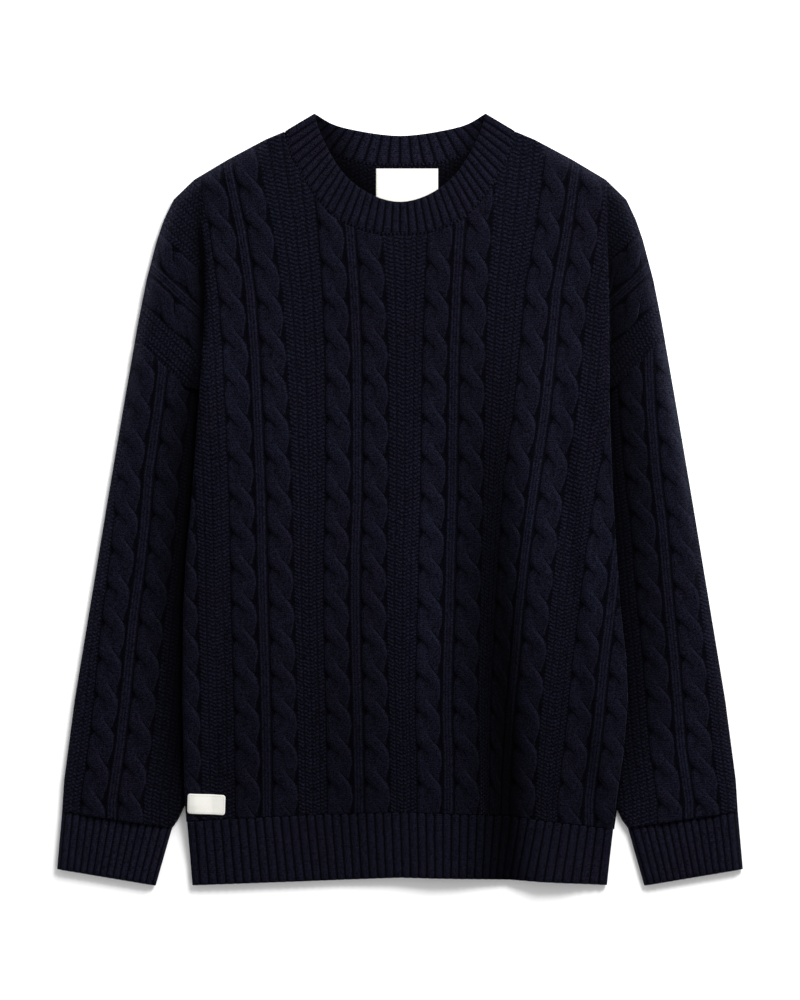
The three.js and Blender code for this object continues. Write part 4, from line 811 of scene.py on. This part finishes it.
def tube(shell, top, inner_rows):
    """A flat tube: its upper wall, a plain lower wall and the thin air between them, open at both ends."""
    _, bottom = both_faces(shell, top, (8, 1), (10, 4))
    for column, way in ((-1, 1), (0, -1)):
        upper, lower = (once(face[:, column])[::way] for face in (top, bottom))
        upper_at, lower_at = (way * shell.places(np.array(line))[1] for line in (upper, lower))
        shell.strip(upper, lower, upper_at, lower_at)

    share = np.linspace(0, 1, inner_rows)[:, None]
    start, end = (shell.places(np.array(inner_line)) for inner_line in inner_lines(top))
    middle = SLEEVE_THICK / 2
    x = start[0] + (end[0] - start[0]) * share
    y = start[1] + (end[1] - start[1]) * share
    rise = (start[2] + (end[2] - start[2]) * share - SLEEVE_THICK).clip(0) * 0.6
    inside = np.ones(x.shape[1])
    inside[[0, -1]] = 0
    ceiling = shell.add(x, y, middle + inside * (SLIT / 2 + rise))
    floor = shell.add(x, y, middle - inside * SLIT / 2)
    floor[:, [0, -1]] = ceiling[:, [0, -1]]
    shell.grid(ceiling, upwards=False)
    shell.grid(floor)
    for row, way in ((0, 1), (-1, -1)):
        above, high, low, below = (once(line[row])[::way] for line in (top, ceiling, floor, bottom))
        for upper, lower in ((above, high), (low, below)):
            spans = []
            for line in (upper, lower):
                xs = shell.places(np.array(line))[0]
                spans.append((xs - xs[0]) / (xs[-1] - xs[0]))
            shell.strip(upper, lower, *spans)
        shell.faces.append([above[0], below[0], high[0]])
        shell.faces.append([high[-1], below[-1], above[-1]])


def sleeve(side, material):
    name = SIDE_NAMES[side]
    shell = Shell()
    courses = np.arange(CUFF_TOP["outer_y"], 150, SLEEVE_CROSSING / ROWS_PER_CROSSING)
    fabric = np.concatenate((-texture_offsets(5)[::-1], PAIR_OFFSETS, texture_offsets(5)))
    hidden = np.array([0, 1.5, 3.5, 6, SLEEVE_HIDDEN_LINE])

    def outer(inward, y):
        return side * (outline_half(y) - inward)

    def free(offset, y):
        return side * sleeve_ribs[side](y) + offset

    def inner(inward, y):
        below_body = np.maximum(sleeve_inner(y) + SLEEVE_HIDDEN_LINE, body_edge(side, y) - 1)
        return side * np.where(inward == SLEEVE_HIDDEN_LINE, below_body, sleeve_inner(y) + inward)

    def top_y(x):
        return np.where(np.abs(x) > 160, armhole_line(np.abs(x) - SEAM_LINE) - SEAM_LINE, 92)

    def surface(x, y, knit):
        half = np.abs(x)
        turns = (SLEEVE_FIRST_CROSSING - y) / SLEEVE_CROSSING
        relief, away, place = pattern(knit, turns, False)
        bare = smooth((half - body_edge(side, y) - 1) / 3)
        full = SLEEVE_THICK + sleeve_crest(side, half, y) + relief * bare
        inward = np.minimum(outline_half(y) - half, (half - sleeve_inner(y)) * EDGE_ROLL / SLEEVE_INNER_ROLL)
        middle = SLEEVE_THICK / 2
        seam = smooth((top_y(x) - y) / SEAM_WIDTH)
        z = middle + (full - middle) * roll(inward, EDGE_ROLL) - SEAM_DIP * (1 - seam)
        fold = np.minimum(outline_half(y) - half, half - sleeve_inner(y))
        under = (middle - 0.4) * (1 - roll(fold, UNDER_ROLL))
        return z, under, (away, turns), (place, relief)

    if side < 0:
        lines = (EDGE_LINES, fabric, hidden[::-1], outer, free, inner)
    else:
        lines = (hidden, fabric, EDGE_LINES[::-1], inner, free, outer)
    numbers = knit_panel(shell, courses, lines, sleeve_y, top_y, surface)
    tube(shell, numbers, 8)
    piece = shell.object(f"sleeve_knit_{name}", material, "navy_wool", [f"sleeve_{name}"], side_painted_shade)


def inner_lines(top):
    """Points of both end lines of a tube's upper face, evenly spread between its two walls' folds."""
    lines = []
    for row in (top[0], top[-1]):
        unique = once(row)
        lines.append([unique[int(at)] for at in np.linspace(4, len(unique) - 5, 9)])
    return lines


def ribs(share, count, height, sharp=0.5):
    """Height of rib knit at a share of its width."""
    wave = 0.5 - 0.5 * np.cos(2 * np.pi * count * share)
    return height * wave ** sharp


def cuff(side, material):
    name = SIDE_NAMES[side]
    shell = Shell()
    ribbed = np.linspace(CUFF_EDGE, 1 - CUFF_EDGE, CUFF_RIBS * 8 + 1)
    edges = np.array([0, 0.003, 0.009, 0.019])
    across = np.concatenate((edges, ribbed, 1 - edges[::-1]))[None]
    down = np.concatenate(([1, 0.985, 0.96, 0.92], np.linspace(0.86, 0.04, 22), [0.015, 0]))[:, None]
    (top_half, top_y), (low_half, low_y) = (
        [(1 - across) * line["outer" + key] + across * line["inner" + key] for key in ("", "_y")]
        for line in (CUFF_TOP, CUFF_LOW)
    )
    half = top_half + (low_half - top_half) * down
    y = top_y - SEAM_LINE + (low_y - top_y + SEAM_LINE) * down
    width = CUFF_LOW["outer"] - CUFF_LOW["inner"]
    inward = np.minimum(across, 1 - across) * width
    middle = SLEEVE_THICK / 2
    knit = ribs((across - CUFF_EDGE) / (1 - 2 * CUFF_EDGE), CUFF_RIBS, CUFF_RIB_HEIGHT)
    drop = EDGE_DROP * (1 - smooth((1 - down) / 0.05)) + SEAM_DIP * (1 - smooth(down / 0.08))
    z = middle + (SLEEVE_THICK + knit - drop - middle) * roll(inward, EDGE_ROLL)
    under = (middle - 0.4) * (1 - roll(inward, UNDER_ROLL)) + 0 * down
    x = side * half
    lateral, knit = across * width + 0 * down, knit + 0 * down
    if side > 0:
        x, y, z, under, lateral, knit = (a[:, ::-1] for a in (x, y, z, under, lateral, knit))
    numbers = shell.add(x, y, z, under, (lateral, y), (lateral, knit))
    tube(shell, numbers, 3)
    # Painted shade: the right cuff is painted darker than the left.
    cuff_painted_shade = {-1: 1.0, 1: CUFF_PAINTED_SHADE}[side]
    piece = shell.object(f"cuff_rib_{name}", material, "navy_rib", [f"cuff_{name}"], lambda x, y: cuff_painted_shade)


# Hem and neckband

def hem_grid(across, down):
    left, right = -left_edge(HEM_SIDE_TOP), right_edge(HEM_SIDE_TOP)
    x_top = left + (right - left) * across
    x = x_top + (hem_lean(x_top) - x_top) * down
    y = hem_seam(x) - SEAM_LINE + (hem_edge(x) - hem_seam(x) + SEAM_LINE) * down
    return x, y, np.minimum(x_top - left, right - x_top)


def hem_painted_shade(x, y):
    return body_painted_shade(x, y) * HEM_PAINTED_SHADE / BODY_PAINTED_SHADE


def hem_front(material):
    shell = Shell()
    edges = EDGE_LINES[:-1] / HEM_WIDTH
    margin = EDGE_ROLL / HEM_WIDTH
    ribbed = np.linspace(margin, 1 - margin, HEM_RIBS * 8 + 1)
    across = np.concatenate((edges, ribbed, 1 - edges[::-1]))[None]
    down = np.concatenate(([1, 0.985, 0.96, 0.92], np.linspace(0.88, 0.05, 26), [0.02, 0]))[:, None]
    x, y, inward = hem_grid(across, down)
    knit = ribs((across - margin) / (1 - 2 * margin), HEM_RIBS, HEM_RIB_HEIGHT) + 0 * down
    under = front_under(x, y)
    drop = EDGE_DROP * (1 - smooth((1 - down) / 0.05)) + HEM_DIP * (1 - smooth(down / 0.06))
    z = under + RIM + (WALL - RIM + knit - drop) * roll(inward, EDGE_ROLL)
    lateral = across * HEM_WIDTH + 0 * down
    numbers = shell.add(x, y, z, under, (lateral, y), (lateral, knit))
    close_below(shell, numbers, 8, 8)
    piece = shell.object("hem_rib_front", material, "navy_rib", ["hem_front"], hem_painted_shade)


def hem_back(material):
    shell = Shell()
    edges = EDGE_LINES / HEM_WIDTH
    across = np.concatenate((edges, np.linspace(0.03, 0.97, 80), 1 - edges[::-1]))[None]
    down = np.linspace(1, 0, 12)[:, None]
    x, y, inward = hem_grid(across, down)
    lift = side_lift(x, y)
    under = lift + 2.6 * (1 - roll(inward, UNDER_ROLL))
    lateral = across * HEM_WIDTH + 0 * down
    numbers = shell.add(x, y, WALL + lift, under, (lateral, y), (lateral, 0 * x))
    close_below(shell, numbers, 1, 1)
    piece = shell.object("hem_rib_back", material, "navy_rib", ["hem_back"])


def neck_band(name, seam, edge, ribs_count, under_at, rib_share, material, node, painted_shading):
    """A rib knit band between two curves."""
    shell = Shell()
    columns = ribs_count * 10 + 1
    outer, inner = (even_points(table, columns).T for table in (seam, edge))
    share = np.concatenate(([0, 0.03, 0.08], np.linspace(0.15, 0.85, 12), [0.91, 0.95, 0.98, 1]))[:, None]
    length = np.hypot(*(inner - outer))
    start = outer + (inner - outer) * SEAM_LINE / length
    x, y = (start[axis] + (inner[axis] - start[axis]) * share for axis in (0, 1))
    waves = ribs(np.linspace(0, 1, columns)[None], ribs_count, NECK_RIB_HEIGHT) + 0 * share
    knit = waves * rib_share(np.abs(x), y)
    crown = np.minimum(0.4 + share * 4, 1) * (0.5 + 0.5 * roll(1 - share, 0.12))
    under = under_at(np.abs(x), share)
    z = under + NECK_BAND_THICK * (0.5 + 0.5 * roll(1 - share, 0.12)) + knit * crown
    z = z - SEAM_DIP * (1 - smooth(share / 0.1))
    along = np.concatenate(([0], np.cumsum(np.hypot(*np.diff((outer + inner) / 2)))))[None]
    lateral = along + 0 * share
    numbers = shell.add(x, y, z, under + 0 * x, (lateral, share * length), (lateral, waves))
    close_below(shell, numbers, 4, 5)
    piece = shell.object(name, material, "navy_rib", [node], painted_shading)


# Labels

def plate(name, x, y, z, material, node):
    """A thin piece of tape over a grid of places, rounded along its border."""
    shell = Shell()
    steps = (np.minimum(np.arange(n), np.arange(n)[::-1]) for n in x.shape)
    thick = LABEL_THICK * roll(np.minimum.outer(*steps) + 0.6, 2)
    down, over = (np.minimum(line, 1 - line) for line in (np.linspace(0, 1, n) for n in x.shape))
    inside = np.minimum(down[:, None] * np.ptp(y[:, 0]), over[None] * np.ptp(x[0]))
    numbers = shell.add(x, y, z + thick, z, (x, y), (inside, x + y))
    close_below(shell, numbers, 1, 1)
    piece = shell.object(name, material, "label_cloth", [node])


def neck_label(material):
    across, up = np.meshgrid(np.linspace(0, 1, 58), np.linspace(0, 1, 34))
    x = NECK_LABEL["left"] + (NECK_LABEL["right"] - NECK_LABEL["left"]) * across
    bow = NECK_LABEL["bow"] * (1 - (2 * across - 1) ** 2) * (1 - up)
    y = NECK_LABEL["bottom"] + (NECK_LABEL["top"] - NECK_LABEL["bottom"]) * up - bow
    plate("neck_label_cloth", x, y, FRONT_UNDER + 0 * x, material, "neck_label")


def rounded(across, up, width, height, radius):
    """A grid over a rectangle, its corner squares drawn in to quarter discs."""
    x, y = across * width, up * height
    from_x = np.where(x < width / 2, radius - x, x - width + radius) / radius
    from_y = np.where(y < height / 2, radius - y, y - height + radius) / radius
    corner = (from_x > 0) & (from_y > 0)
    pull_x = from_x * (1 - np.sqrt(np.clip(1 - from_y ** 2 / 2, 0, 1)))
    pull_y = from_y * (1 - np.sqrt(np.clip(1 - from_x ** 2 / 2, 0, 1)))
    x = x + np.where(corner, pull_x * radius * np.where(x < width / 2, 1, -1), 0)
    y = y + np.where(corner, pull_y * radius * np.where(y < height / 2, 1, -1), 0)
    return x / width, y / height


def hem_patch(material):
    across, up = np.meshgrid(np.linspace(0, 1, 50), np.linspace(0, 1, 28))
    width, height = PATCH["right"] - PATCH["left"], PATCH["top"] - PATCH["bottom"]
    across, up = rounded(across, up, width, height, PATCH_ROUND)
    x = PATCH["left"] + width * across + (up - 0.5) * 0.6
    y = PATCH["bottom"] + height * up + PATCH["tilt"] * (across - 0.5) * 1.4
    z = chest_top(x, y, 0 * x) + PATCH["clear"]
    plate("hem_patch_cloth", x, y, z, material, "hem_patch")


# Materials

class Recipe:
    """A material built from nodes, each added by its kind and its inputs."""

    def __init__(self, name):
        self.material = bpy.data.materials.new(name)
        self.material.use_nodes = True
        self.tree = self.material.node_tree
        self.shader = self.tree.nodes["Principled BSDF"]

    def node(self, kind, inputs=None, **settings):
        node = self.tree.nodes.new(f"ShaderNode{kind}")
        for name, value in settings.items():
            setattr(node, name, value)
        for key, value in (inputs or {}).items():
            self.put(node.inputs[key], value)
        return node

    def put(self, socket, value):
        if hasattr(value, "is_output"):
            self.tree.links.new(value, socket)
        else:
            socket.default_value = value

    def calc(self, operation, *values):
        return self.node("Math", dict(enumerate(values)), operation=operation).outputs[0]

    def noise(self, scale, detail=2.0, rough=0.5, vector=None):
        inputs = {"Scale": scale, "Detail": detail, "Roughness": rough}
        inputs["Vector"] = vector or self.node("TexCoord").outputs["Object"]
        return self.node("TexNoise", inputs).outputs["Fac"]

    def blend(self, share, first, second):
        node = self.node("Mix", data_type="RGBA")
        self.put(node.inputs["Factor"], share)
        self.put(node.inputs[6], first)
        self.put(node.inputs[7], second)
        return node.outputs[2]

    def span(self, value, low, high, to_low=0.0, to_high=1.0):
        inputs = {"Value": value, 1: low, 2: high, 3: to_low, 4: to_high}
        return self.node("MapRange", inputs, interpolation_type="SMOOTHSTEP").outputs[0]

    def pair(self, layer):
        uv = self.node("UVMap", uv_map=layer).outputs["UV"]
        parts = self.node("SeparateXYZ", {"Vector": uv}).outputs
        return parts[0], parts[1]


BLACK = (0, 0, 0, 1)
# darkest navy: the painted colour of yarn in shade, at the low end of the light scale
NAVY_SHADED = (0.0005, 0.0005, 0.0012, 1)
NAVY_YARN = (0.0062, 0.0075, 0.0157, 1)
VIOLET_YARN = (0.0080, 0.0067, 0.0145, 1)
# colour of the painted sheen along the outer folds
PAINTED_SHEEN_COLOUR = (0.030, 0.032, 0.050, 1)
NAVY_FLECK = (0.019, 0.026, 0.045, 1)
VIOLET_FLECK = (0.026, 0.021, 0.038, 1)
ROW = 1.9


def heather(r, light, height, fleck_share):
    """Colours and roughens yarn with paler fibres of two blues in it; the shade in its hollows and folds and
    the sheen along the outer edges are painted into its colour.
    """
    grain = r.noise(760.0, 2.0, 0.75)
    # The fold layer holds the painted shade of the folds and the painted sheen of the outer edges.
    painted_lit_share, painted_sheen = r.pair("fold")
    height = r.calc("ADD", height, r.calc("MULTIPLY", grain, 0.55))
    height = r.calc("MULTIPLY", height, r.span(painted_lit_share, 0.1, 0.6, 0.2, 1.0))
    bump = r.node("Bump", {"Height": height, "Distance": MM, "Strength": 1.0})
    r.put(r.shader.inputs["Normal"], bump.outputs["Normal"])
    light = r.calc("MULTIPLY", light, r.span(grain, 0.32, 0.68, 0.05, 1.85))
    cool = r.calc("MULTIPLY_ADD", r.noise(14.0, 4.0, 0.7), 0.9, r.calc("MULTIPLY", r.noise(500.0, 1.0), 0.7))
    cool = r.span(cool, 0.4, 1.15)
    base = r.blend(light, NAVY_SHADED, r.blend(cool, VIOLET_YARN, NAVY_YARN))
    flecks = r.span(r.noise(980.0, 2.0, 0.8), 0.55, 0.7)
    patches = r.span(r.noise(26.0, 3.0, 0.6), 0.3, 0.7, 0.6, 1.0)
    flecks = r.calc("MULTIPLY", r.calc("MULTIPLY", flecks, patches), r.calc("MULTIPLY", light, fleck_share))
    base = r.blend(flecks, base, r.blend(cool, VIOLET_FLECK, NAVY_FLECK))
    painted_sheen = r.calc("MULTIPLY", painted_sheen, r.span(grain, 0.3, 0.7, 0.3, 1.6))
    # Painted shade of the folds blends towards black; painted sheen along the outer edges blends towards a
    # paler blue.
    r.put(r.shader.inputs["Base Color"], r.blend(painted_sheen, r.blend(painted_lit_share, BLACK, base), PAINTED_SHEEN_COLOUR))
    for socket, value in (
        ("Roughness", 0.95), ("Specular IOR Level", 0.02), ("Sheen Weight", 0.06), ("Sheen Roughness", 0.25),
        ("Sheen Tint", (0.45, 0.5, 0.85, 1)),
    ):
        r.shader.inputs[socket].default_value = value
    return r.material


def stitch_rows(r, lateral, along, wale_width):
    """Height from 0 to 1 of V stitches in wales of a width."""
    leg = r.calc("ABSOLUTE", r.calc("SUBTRACT", r.calc("FRACT", r.calc("DIVIDE", lateral, wale_width)), 0.5))
    row = r.calc("FRACT", r.calc("MULTIPLY_ADD", leg, 0.7, r.calc("DIVIDE", along, ROW)))
    loop = r.calc("SINE", r.calc("MULTIPLY", row, math.pi))
    yarn = r.calc("SINE", r.calc("MULTIPLY", leg, 2 * math.pi))
    return r.calc("MULTIPLY_ADD", loop, 0.65, r.calc("MULTIPLY", yarn, 0.35))


def cable_wool(name):
    """Navy wool with crossing cables, narrow ribs, and columns of small slanted bumps between them, with
    painted shade in their hollows and painted highlights on the strands' edges.
    """
    r = Recipe(name)
    away, turns = r.pair("fabric")
    place, relief = r.pair("stitch")
    along = r.calc("MULTIPLY", turns, CROSSING_LENGTH)
    wobble = r.calc("MULTIPLY", r.calc("SUBTRACT", r.noise(380.0, 2.0), 0.5), 3.0)
    uneven = r.calc("ADD", along, wobble)
    part = r.calc("FRACT", r.calc("ADD", turns, 0.5))

    def edge(low, high, start, end):
        return r.span(part, start, end, low, high)

    def fine_line(distance):
        return r.calc("MULTIPLY", r.span(distance, -0.2, 0.3), r.span(distance, 0.6, 1.3, 1.0, 0.0))

    def product(*values):
        total = values[0]
        for value in values[1:]:
            total = r.calc("MULTIPLY", total, value)
        return total

    front_left = edge(*FRONT_LEFT)
    front_right = r.calc("ADD", edge(*FRONT_RIGHT), edge(*BULGE))
    outside_left = r.calc("SUBTRACT", front_left, place)
    outside_right = r.calc("SUBTRACT", place, front_right)
    # Painted shade: dark lines beside a strand where the other tucks under it, also cut as grooves in the
    # bump.
    notch_shade_groove = product(
        r.span(outside_left, -0.6, 0.2), r.span(outside_left, 0.4, 1.8, 0.9, 0.0),
        edge(0, 1, 0.40, 0.52), edge(1, 0, 0.66, 0.86),
    )
    tuck_shade_groove = product(
        r.span(outside_right, -0.3, 0.2), r.span(outside_right, 0.3, 1.3, 0.75, 0.0),
        edge(0, 1, 0.16, 0.38), edge(1, 0, 0.56, 0.66),
    )
    later = edge(0, 1, 0.52, 0.56)
    right_line = r.node("Mix", {0: later, 2: edge(*TAIL), 3: front_right}).outputs[0]
    # Painted highlights: thin pale rims along the strands' edges that face the lamp.
    right_rim_highlight = product(
        fine_line(r.calc("SUBTRACT", right_line, r.calc("ADD", place, 0.5))),
        r.calc("MAXIMUM", edge(1, 0, 0.38, 0.44), edge(0, 1, 0.56, 0.66)),
    )
    left_rim_highlight = product(
        fine_line(r.calc("ADD", place, STRAND_EDGE - 0.5)),
        r.calc("MAXIMUM", edge(0.8, 0, 0.2, 0.36), edge(0, 0.8, 0.78, 0.88)),
    )
    painted_rim_highlight = r.calc("MAXIMUM", right_rim_highlight, left_rim_highlight)
    # Painted highlight: a paler band just inside the front strand's right edge.
    lobe_highlight = product(
        edge(0, 1, 0.1, 0.42), edge(1, 0, 0.56, 0.95),
        r.span(outside_right, -4.5, -1.5), r.span(outside_right, -1.2, 0.2, 1.0, 0.0),
    )
    # Painted shade where a strand comes out from under the front one and where it sinks under it.
    emerging_shade = product(
        r.span(outside_left, -0.2, 0.4), r.span(outside_left, 1.0, 8.0, 0.35, 0.0), edge(0, 1, 0.44, 0.5),
    )
    sinking_shade = product(r.span(outside_right, -0.2, 0.4), edge(0, 0.16, 0.0, 0.4))
    middle = r.calc("MULTIPLY", r.calc("ADD", front_left, front_right), 0.5)
    strands = stitch_rows(r, r.calc("SUBTRACT", place, middle), uneven, 2.3)
    cable_light = r.calc("MULTIPLY_ADD", strands, 0.5, 0.2)
    for dark in (notch_shade_groove, tuck_shade_groove, emerging_shade, sinking_shade):
        cable_light = r.calc("MULTIPLY", cable_light, r.calc("SUBTRACT", 1.0, dark))
    cable_light = r.calc("MULTIPLY_ADD", painted_rim_highlight, 0.3, r.calc("MULTIPLY_ADD", lobe_highlight, 0.35, cable_light))
    cable_height = r.calc("MULTIPLY", strands, 0.3)
    cable_height = r.calc("SUBTRACT", cable_height, r.calc("ADD", notch_shade_groove, tuck_shade_groove))

    rib_wave = r.calc("COSINE", r.calc("MULTIPLY", away, 2 * math.pi / 2.9))
    rib_wales = r.calc("MULTIPLY_ADD", rib_wave, 0.5, 0.5)
    rib_rows = stitch_rows(r, place, uneven, 2.9)
    rib_shade = r.calc("MULTIPLY_ADD", rib_rows, 0.35, 0.1)
    rib_light = r.calc("ADD", r.calc("MULTIPLY", rib_wales, 0.55), rib_shade)
    rib_height = r.calc("MULTIPLY_ADD", rib_wales, 0.35, r.calc("MULTIPLY", rib_rows, 0.2))

    columns = r.calc("DIVIDE", r.calc("SUBTRACT", away, PAIR_HALF), COLUMN_WIDTH)
    column = r.calc("FRACT", columns)
    slip = r.calc("MULTIPLY", r.calc("FLOOR", columns), 0.37)
    zigzag = r.calc("MULTIPLY", r.calc("SINE", r.calc("MULTIPLY", column, 2 * math.pi)), 0.27)
    count = r.calc("ADD", r.calc("DIVIDE", uneven, 3.75), r.calc("ADD", slip, zigzag))
    bump_along = r.calc("MULTIPLY_ADD", r.calc("COSINE", r.calc("MULTIPLY", count, 2 * math.pi)), 0.5, 0.5)
    bump_across = r.calc("MULTIPLY_ADD", r.calc("COSINE", r.calc("MULTIPLY", column, 4 * math.pi)), -0.3, 0.7)
    # Painted shade: darker lines at the grooves between columns, which also dip the bump.
    line = r.span(r.calc("ABSOLUTE", r.calc("SUBTRACT", column, 0.5)), 0.38, 0.49, 1.0, 0.55)
    bumps = product(bump_across, bump_along, line)
    texture_light = r.calc("MULTIPLY_ADD", bumps, 0.9, 0.2)

    in_rib = r.span(away, RIB_FOOT - 0.6, RIB_FOOT, 1.0, 0.0)
    in_texture = r.span(away, PAIR_HALF - 0.2, PAIR_HALF + 0.6)

    def by_zone(rib, rope, texture):
        inner = r.node("Mix", {0: in_rib, 2: rope, 3: rib}).outputs[0]
        return r.node("Mix", {0: in_texture, 2: inner, 3: texture}).outputs[0]

    light = by_zone(rib_light, cable_light, texture_light)
    height = by_zone(rib_height, cable_height, r.calc("MULTIPLY", bumps, 1.1))
    # Painted shade: darker where the relief is low, in the hollows between ribs, strands and columns.
    hollow_shade = by_zone(
        r.span(relief, 0.1, 1.3, 0.16, 1.0),
        r.span(relief, 0.1, 0.9, 0.18, 1.0),
        r.span(relief, 0.0, 0.8, 0.4, 1.0),
    )
    return heather(r, r.calc("MULTIPLY", light, hollow_shade), height, 0.6)


def rib_wool(name):
    """Navy wool in plain ribs."""
    r = Recipe(name)
    along = r.pair("fabric")[1]
    lateral, relief = r.pair("stitch")
    wobble = r.calc("MULTIPLY", r.calc("SUBTRACT", r.noise(330.0, 1.0), 0.5), 1.2)
    rows = stitch_rows(r, lateral, r.calc("ADD", along, wobble), 2.5)
    # Painted shade: darker where the rib relief is low, between the ribs.
    light = r.calc("MULTIPLY", r.calc("MULTIPLY_ADD", rows, 0.6, 0.35), r.span(relief, 0.15, 1.0, 0.1, 1.0))
    links = r.calc("MULTIPLY", r.span(along, 0.2, 0.6), r.span(along, 2.2, 2.8, 1.0, 0.0))
    dashes = r.span(r.calc("SINE", r.calc("MULTIPLY", lateral, 2 * math.pi / 3.2)), -0.3, 0.5, 0.1, 1.5)
    light = r.node("Mix", {0: links, 2: light, 3: dashes}).outputs[0]
    return heather(r, light, r.calc("MULTIPLY", rows, 0.35), 0.6)


def label_cloth(name):
    """White woven tape with a fine even weave."""
    r = Recipe(name)
    across, along = r.pair("fabric")
    warp = r.calc("SINE", r.calc("MULTIPLY", across, 2 * math.pi / 0.55))
    weft = r.calc("SINE", r.calc("MULTIPLY", along, 2 * math.pi / 0.7))
    weave = r.calc("MULTIPLY", warp, weft)
    height = r.calc("ADD", r.calc("MULTIPLY", weave, 0.06), r.calc("MULTIPLY", r.noise(160.0), 0.5))
    bump = r.node("Bump", {"Height": height, "Distance": MM, "Strength": 0.7})
    r.put(r.shader.inputs["Normal"], bump.outputs["Normal"])
    shade = r.calc("MULTIPLY_ADD", weave, 0.18, 0.6)
    base = r.blend(shade, (0.52, 0.51, 0.47, 1), (0.68, 0.67, 0.63, 1))
    inside, length = r.pair("stitch")
    row = r.span(r.calc("ABSOLUTE", r.calc("SUBTRACT", inside, 1.5)), 0.15, 0.5, 1.0, 0.0)
    dash = r.span(r.calc("SINE", r.calc("MULTIPLY", length, 2 * math.pi / 2.2)), -0.5, 0.2)
    base = r.blend(r.calc("MULTIPLY", r.calc("MULTIPLY", row, dash), 0.6), base, (0.38, 0.35, 0.3, 1))
    r.put(r.shader.inputs["Base Color"], base)
    for socket, value in (("Roughness", 0.8), ("Specular IOR Level", 0.25), ("Sheen Weight", 0.1)):
        r.shader.inputs[socket].default_value = value
    return r.material


def floor_finish():
    r = Recipe("pale_floor")
    r.shader.inputs["Base Color"].default_value = (0.93, 0.93, 0.93, 1)
    r.shader.inputs["Roughness"].default_value = 0.9
    r.shader.inputs["Specular IOR Level"].default_value = 0.0
    return r.material


# Stage

def stage():
    bpy.ops.mesh.primitive_plane_add(size=12, location=(0, 0, -0.0004))
    floor = bpy.context.object
    floor.name = "floor"
    floor.data.materials.append(floor_finish())

    camera_data = bpy.data.cameras.new("camera")
    camera_data.sensor_fit = "VERTICAL"
    camera_data.sensor_height = SENSOR
    camera_data.lens = SENSOR * CAMERA_HEIGHT / FRAME_HEIGHT
    camera = bpy.data.objects.new("camera", camera_data)
    camera.location = (0, 0, CAMERA_HEIGHT)
    bpy.context.collection.objects.link(camera)
    bpy.context.scene.camera = camera

    world = bpy.data.worlds.new("studio")
    world.use_nodes = True
    background = world.node_tree.nodes["Background"]
    background.inputs["Color"].default_value = (1, 1, 1, 1)
    background.inputs["Strength"].default_value = 0.62
    bpy.context.scene.world = world

    light_data = bpy.data.lights.new("key", "AREA")
    light_data.size = LAMP["size"]
    light_data.energy = LAMP["energy"]
    light = bpy.data.objects.new("key", light_data)
    light.location = LAMP["place"]
    x, y, z = LAMP["place"]
    light.rotation_euler = (math.atan2(math.hypot(x, y), z), 0, math.atan2(x, -y))
    bpy.context.collection.objects.link(light)
    bpy.context.scene.view_settings.view_transform = "Standard"


stage()
KNIT = cable_wool("navy_cable_knit")
RIB = rib_wool("navy_rib_knit")
TAPE = label_cloth("white_woven_tape")
front(KNIT)
back(KNIT)
for hand in (-1, 1):
    sleeve(hand, KNIT)
    cuff(hand, RIB)
hem_front(RIB)
hem_back(RIB)
neck_band(
    "neck_rib_front", FRONT_NECK_SEAM, FRONT_NECK_EDGE, FRONT_NECK_RIBS,
    lambda half, share: FRONT_UNDER + BAND_CLEAR
    + LABEL_ROOM * share * smooth((OPEN_NECK["half"] - half) / OPEN_NECK["front_fade"]),
    lambda half, y: 1.0, RIB, "neckband_front", lambda x, y: NECK_PAINTED_SHADE,
)
neck_band(
    "neck_rib_back", BACK_NECK_SEAM, BACK_NECK_EDGE, BACK_NECK_RIBS,
    lambda half, share: 0 * half + 0 * share,
    lambda half, y: 0.85 * smooth((neck_edge_half(y) - 2 - half) / OPEN_NECK["back_fade"]),
    RIB, "neckband_back", neck_painted_shade,
)
neck_label(TAPE)
hem_patch(TAPE)
